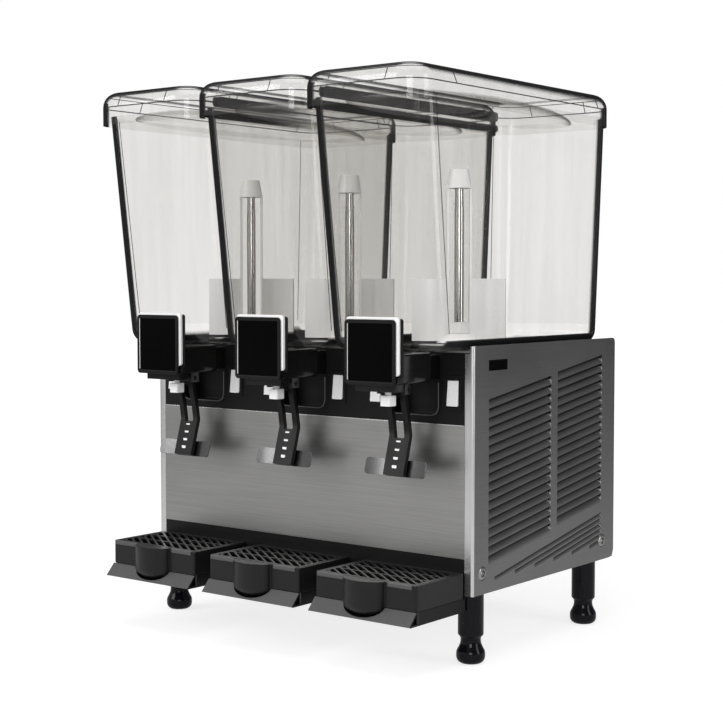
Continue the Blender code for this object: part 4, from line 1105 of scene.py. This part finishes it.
class DISPENSER_OT_trays(bpy.types.Operator):
    """Makes the drip trays, their grilles and the bracket below them"""

    bl_idname = "dispenser.trays"
    bl_label = "Drip trays"

    def execute(self, context):
        for module in MODULES:
            tray = from_node(f"drip_tray_{module}", f"tray_{module}", 0.0008)
            placed(tray, f"drip_tray_{module}", f"drip_tray_{module}", finish("tray_black"))
        low, high = span("drip_grille_middle")
        grille = block("grille_master", low, high)
        pick(grille, "EDGE", lengthways(2))
        bevel(0.003, 3)
        depth, rim, rib = high.y - low.y, 0.006, 0.0035
        band = (depth - 2 * rim - 2 * rib) / 3
        bands = []
        for i in range(3):
            foot = low.y + rim + i * (band + rib)
            bands.append(block("band", (low.x + rim, foot, low.z - 0.01),
                               (high.x - rim, foot + band, high.z + 0.01)))
        openings = joined("bands", *bands)
        pitch, angle, bars = 0.0150, math.radians(-38), []
        first = block("bar", (-0.09, -0.0031, low.z - 0.006), (0.09, 0.0031, high.z + 0.006))
        turned_by(first, angle, "Z", (0, 0, 0))
        for i in range(-10, 11):
            bars.append(copied(first, "bar", (i * pitch, (low.y + high.y) / 2, 0)))
        bpy.data.objects.remove(first)
        hold(openings)
        cut(openings, joined("bars", *bars), operation="INTERSECT")
        cut(grille, openings)
        smooth(soften(grille, 0.0003, 1), 40)
        for_each_bowl(grille, "grille", "drip_grille", "drip_grille", finish("tray_black"))
        low, high = span("drip_tray_middle")
        front = low.y + 0.0170
        lips = []
        for near_x, far_x in ((low.x + 0.004, -0.030), (high.x - 0.042, high.x - 0.006)):
            lip = block("lip", (near_x, front - 0.0016, high.z - 0.0052),
                        (far_x, front + 0.0020, high.z + 0.0006))
            lips.append(soften(lip, 0.0012, 3))
        lip = smooth(joined("lip_master", *lips), 40)
        for_each_bowl(lip, "tray_lip", "drip_tray", None, finish("apron_grey"))
        bracket = from_node("tray_bracket", "tray_apron", 0.0006)
        apron_back = low.y + 0.040
        painted(bracket, finish("satin_black"),
                (finish("apron_grey"), lambda face: face.center.y < apron_back and face.normal.y < -0.2))
        placed(bracket, "cabinet", "tray_bracket")
        return {"FINISHED"}


# ---------------------------------------------------------------- legs and the rest of the cabinet


class DISPENSER_OT_legs(bpy.types.Operator):
    """Makes the turned legs"""

    bl_idname = "dispenser.legs"
    bl_label = "Legs"

    def execute(self, context):
        top, r = span("leg_front_right")[1].z, 0.016
        profile = [
            (0, top), (r, top), (r, 0.0360), (r - 0.0006, 0.0345), (r - 0.0026, 0.0325), (r - 0.0034, 0.0300),
            (r - 0.0034, 0.0270), (r - 0.0028, 0.0235), (r - 0.0008, 0.0190), (r + 0.0012, 0.0155),
            (r + 0.0020, 0.0125), (r + 0.0020, 0.0075), (r + 0.0012, 0.0040), (r - 0.0006, 0.0016),
            (r - 0.0030, 0.0), (0, 0.0),
        ]
        master = smooth(turned("leg_master", profile, (0, 0, 0), 40), 50)
        for side in ("left", "right"):
            for end in ("front", "rear"):
                node = f"leg_{end}_{side}"
                low, high = span(node)
                leg = copied(master, f"turned_{node}", ((low.x + high.x) / 2, (low.y + high.y) / 2, 0))
                placed(leg, "cabinet", node, finish("leg_enamel"))
        bpy.data.objects.remove(master)
        return {"FINISHED"}


class DISPENSER_OT_cabinet_rest(bpy.types.Operator):
    """Makes the back, deck, base and inlet, and finishes what is inside the cabinet"""

    bl_idname = "dispenser.cabinet_rest"
    bl_label = "Back and inside"

    def execute(self, context):
        for node, name, slot, look in (
            ("back_panel", "back_sheet", "galvanised_steel", "galvanised_steel"),
            ("base_plate", "base_sheet", "galvanised_steel", "galvanised_steel"),
            ("top_deck", "deck_sheet", "brushed_steel", "side_steel"),
            ("power_inlet", "inlet_block", "black_plastic", "satin_black"),
        ):
            placed(from_node(node, name, 0.0004), "cabinet", node, finish(look))
        inside = {"compressor": "leg_enamel", "condenser": "fin_metal", "fan_shroud": "satin_black",
                  "fan_blade": "satin_black", "stir_drive": "galvanised_steel"}
        inside.update({f"bowl_seal_{module}": "seal_rubber" for module in MODULES})
        for node, look in inside.items():
            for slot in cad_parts[node].material_slots:
                slot.material = finish(look)
        return {"FINISHED"}


# ---------------------------------------------------------------- stage


def area_light(name, place, aim, size, power):
    """A square studio light that looks at a point."""
    data = bpy.data.lights.new(name, "AREA")
    data.shape = "RECTANGLE"
    data.size, data.size_y = size
    data.energy = power
    obj = bpy.data.objects.new(name, data)
    bpy.context.scene.collection.objects.link(obj)
    obj.location = place
    obj.rotation_euler = (Vector(aim) - Vector(place)).to_track_quat("-Z", "Y").to_euler()


class DISPENSER_OT_stage(bpy.types.Operator):
    """Makes the floor, the surroundings, the lights and the camera"""

    bl_idname = "dispenser.stage"
    bl_label = "Stage"

    def execute(self, context):
        scene = context.scene
        finishes = scene.dispenser_finishes
        release()
        bpy.ops.mesh.primitive_circle_add(vertices=64, radius=14, fill_type="NGON", location=(0, 0, -0.0005))
        floor = named("floor")
        material = bpy.data.materials.new("floor")
        material.use_nodes = True
        tree = material.node_tree
        shader = tree.nodes["Principled BSDF"]
        shader.inputs["Base Color"].default_value = (*finishes.floor_colour, 1)
        shader.inputs["Roughness"].default_value = 0.9
        shader.inputs["Specular IOR Level"].default_value = 0.0
        path = tree.nodes.new("ShaderNodeLightPath")
        place = tree.nodes.new("ShaderNodeTexCoord")
        far = new_node(tree, "ShaderNodeVectorMath", operation="LENGTH", inputs={0: place.outputs["Object"]})
        glow = ranged(tree, far.outputs["Value"], 0.8, 3.5, 0.76, 1.0)
        lit = ranged(tree, far.outputs["Value"], 0.5, 4.0, 0.40, 0.0)
        level = new_node(tree, "ShaderNodeMix", data_type="FLOAT",
                         inputs={0: path.outputs["Is Camera Ray"], 2: lit, 3: glow})
        tree.links.new(level.outputs[0], shader.inputs["Emission Color"])
        shader.inputs["Emission Strength"].default_value = 1.0
        floor.data.materials.append(material)
        floor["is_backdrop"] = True

        world = bpy.data.worlds.new("studio")
        scene.world = world
        world.use_nodes = True
        tree = world.node_tree
        seen = tree.nodes["Background"]
        seen.inputs["Color"].default_value = (1, 1, 1, 1)
        seen.inputs["Strength"].default_value = 1.0
        place = tree.nodes.new("ShaderNodeTexCoord")
        parts = new_node(tree, "ShaderNodeSeparateXYZ", inputs={0: place.outputs["Generated"]})
        lobe = new_node(tree, "ShaderNodeVectorMath", operation="DOT_PRODUCT",
                        inputs={0: place.outputs["Generated"], 1: (-0.60, -0.78, 0.15)})
        bright = ranged(tree, lobe.outputs["Value"], 0.1, 0.95, 0.0, finishes.room_level)
        horizon = ranged(tree, parts.outputs[2], -0.1, 0.5, 0.24, 0.12)
        mirrored = new_node(tree, "ShaderNodeBackground",
                            inputs={"Color": (1, 1, 1, 1), "Strength": maths(tree, "ADD", bright, horizon)})
        path = tree.nodes.new("ShaderNodeLightPath")
        mixed = layered(tree, path.outputs["Is Camera Ray"], mirrored.outputs[0], seen.outputs[0])
        tree.links.new(mixed, tree.nodes["World Output"].inputs["Surface"])

        aim = (0, 0, 0.35)
        area_light("key_light", (-1.6, -2.6, 1.9), aim, (1.8, 1.4), finishes.key_power)
        area_light("top_light", (0.3, -0.2, 2.6), aim, (2.2, 2.2), finishes.key_power * 0.8)
        area_light("side_light", (2.6, 0.4, 1.0), aim, (0.8, 1.6), finishes.key_power * 0.35)
        area_light("fill_light", (1.9, -2.5, 1.1), aim, (1.2, 1.2), finishes.key_power * 0.7)

        data = bpy.data.cameras.new("camera")
        data.lens = 75.51
        data.sensor_width = 36
        data.clip_end = 100
        camera = bpy.data.objects.new("camera", data)
        scene.collection.objects.link(camera)
        camera.location = (1.2873, -1.6327, 0.4730)
        azimuth, drop = 0.664977, 0.0538305
        level_part = math.cos(drop)
        forward = Vector((-math.sin(azimuth) * level_part, math.cos(azimuth) * level_part, -math.sin(drop)))
        camera.rotation_mode = "QUATERNION"
        camera.rotation_quaternion = forward.to_track_quat("-Z", "Y")
        scene.camera = camera
        scene.view_settings.view_transform = "Standard"
        scene.cycles.transparent_max_bounces = 48
        scene.cycles.max_bounces = 8
        return {"FINISHED"}


# ---------------------------------------------------------------- panel and start

STEPS = (
    DISPENSER_OT_side_panels,
    DISPENSER_OT_cabinet_front,
    DISPENSER_OT_bowls,
    DISPENSER_OT_lids,
    DISPENSER_OT_paddles,
    DISPENSER_OT_valves,
    DISPENSER_OT_signs,
    DISPENSER_OT_trays,
    DISPENSER_OT_legs,
    DISPENSER_OT_cabinet_rest,
    DISPENSER_OT_stage,
)


class DISPENSER_PT_panel(bpy.types.Panel):
    """Lists the sizes, the finishes and the steps"""

    bl_idname = "DISPENSER_PT_panel"
    bl_label = "Drink dispenser"
    bl_space_type = "VIEW_3D"
    bl_region_type = "UI"
    bl_category = "Dispenser"

    def draw(self, context):
        for group in (context.scene.dispenser_sizes, context.scene.dispenser_finishes):
            box = self.layout.box()
            for key in group.__annotations__:
                box.prop(group, key)
        for step in STEPS:
            self.layout.operator(step.bl_idname)


CLASSES = (DISPENSER_PG_sizes, DISPENSER_PG_finishes, *STEPS, DISPENSER_PT_panel)


def register():
    for kind in CLASSES:
        bpy.utils.register_class(kind)
    bpy.types.Scene.dispenser_sizes = PointerProperty(type=DISPENSER_PG_sizes)
    bpy.types.Scene.dispenser_finishes = PointerProperty(type=DISPENSER_PG_finishes)


def unregister():
    del bpy.types.Scene.dispenser_sizes
    del bpy.types.Scene.dispenser_finishes
    for kind in reversed(CLASSES):
        bpy.utils.unregister_class(kind)


def main():
    register()
    for step in STEPS:
        group, name = step.bl_idname.split(".")
        getattr(getattr(bpy.ops, group), name)()
    release()
    boxes = {"cad": [list(corner) for corner in CAD_BOX], "visual": [list(corner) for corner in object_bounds()]}


if __name__ == "__main__":
    main()
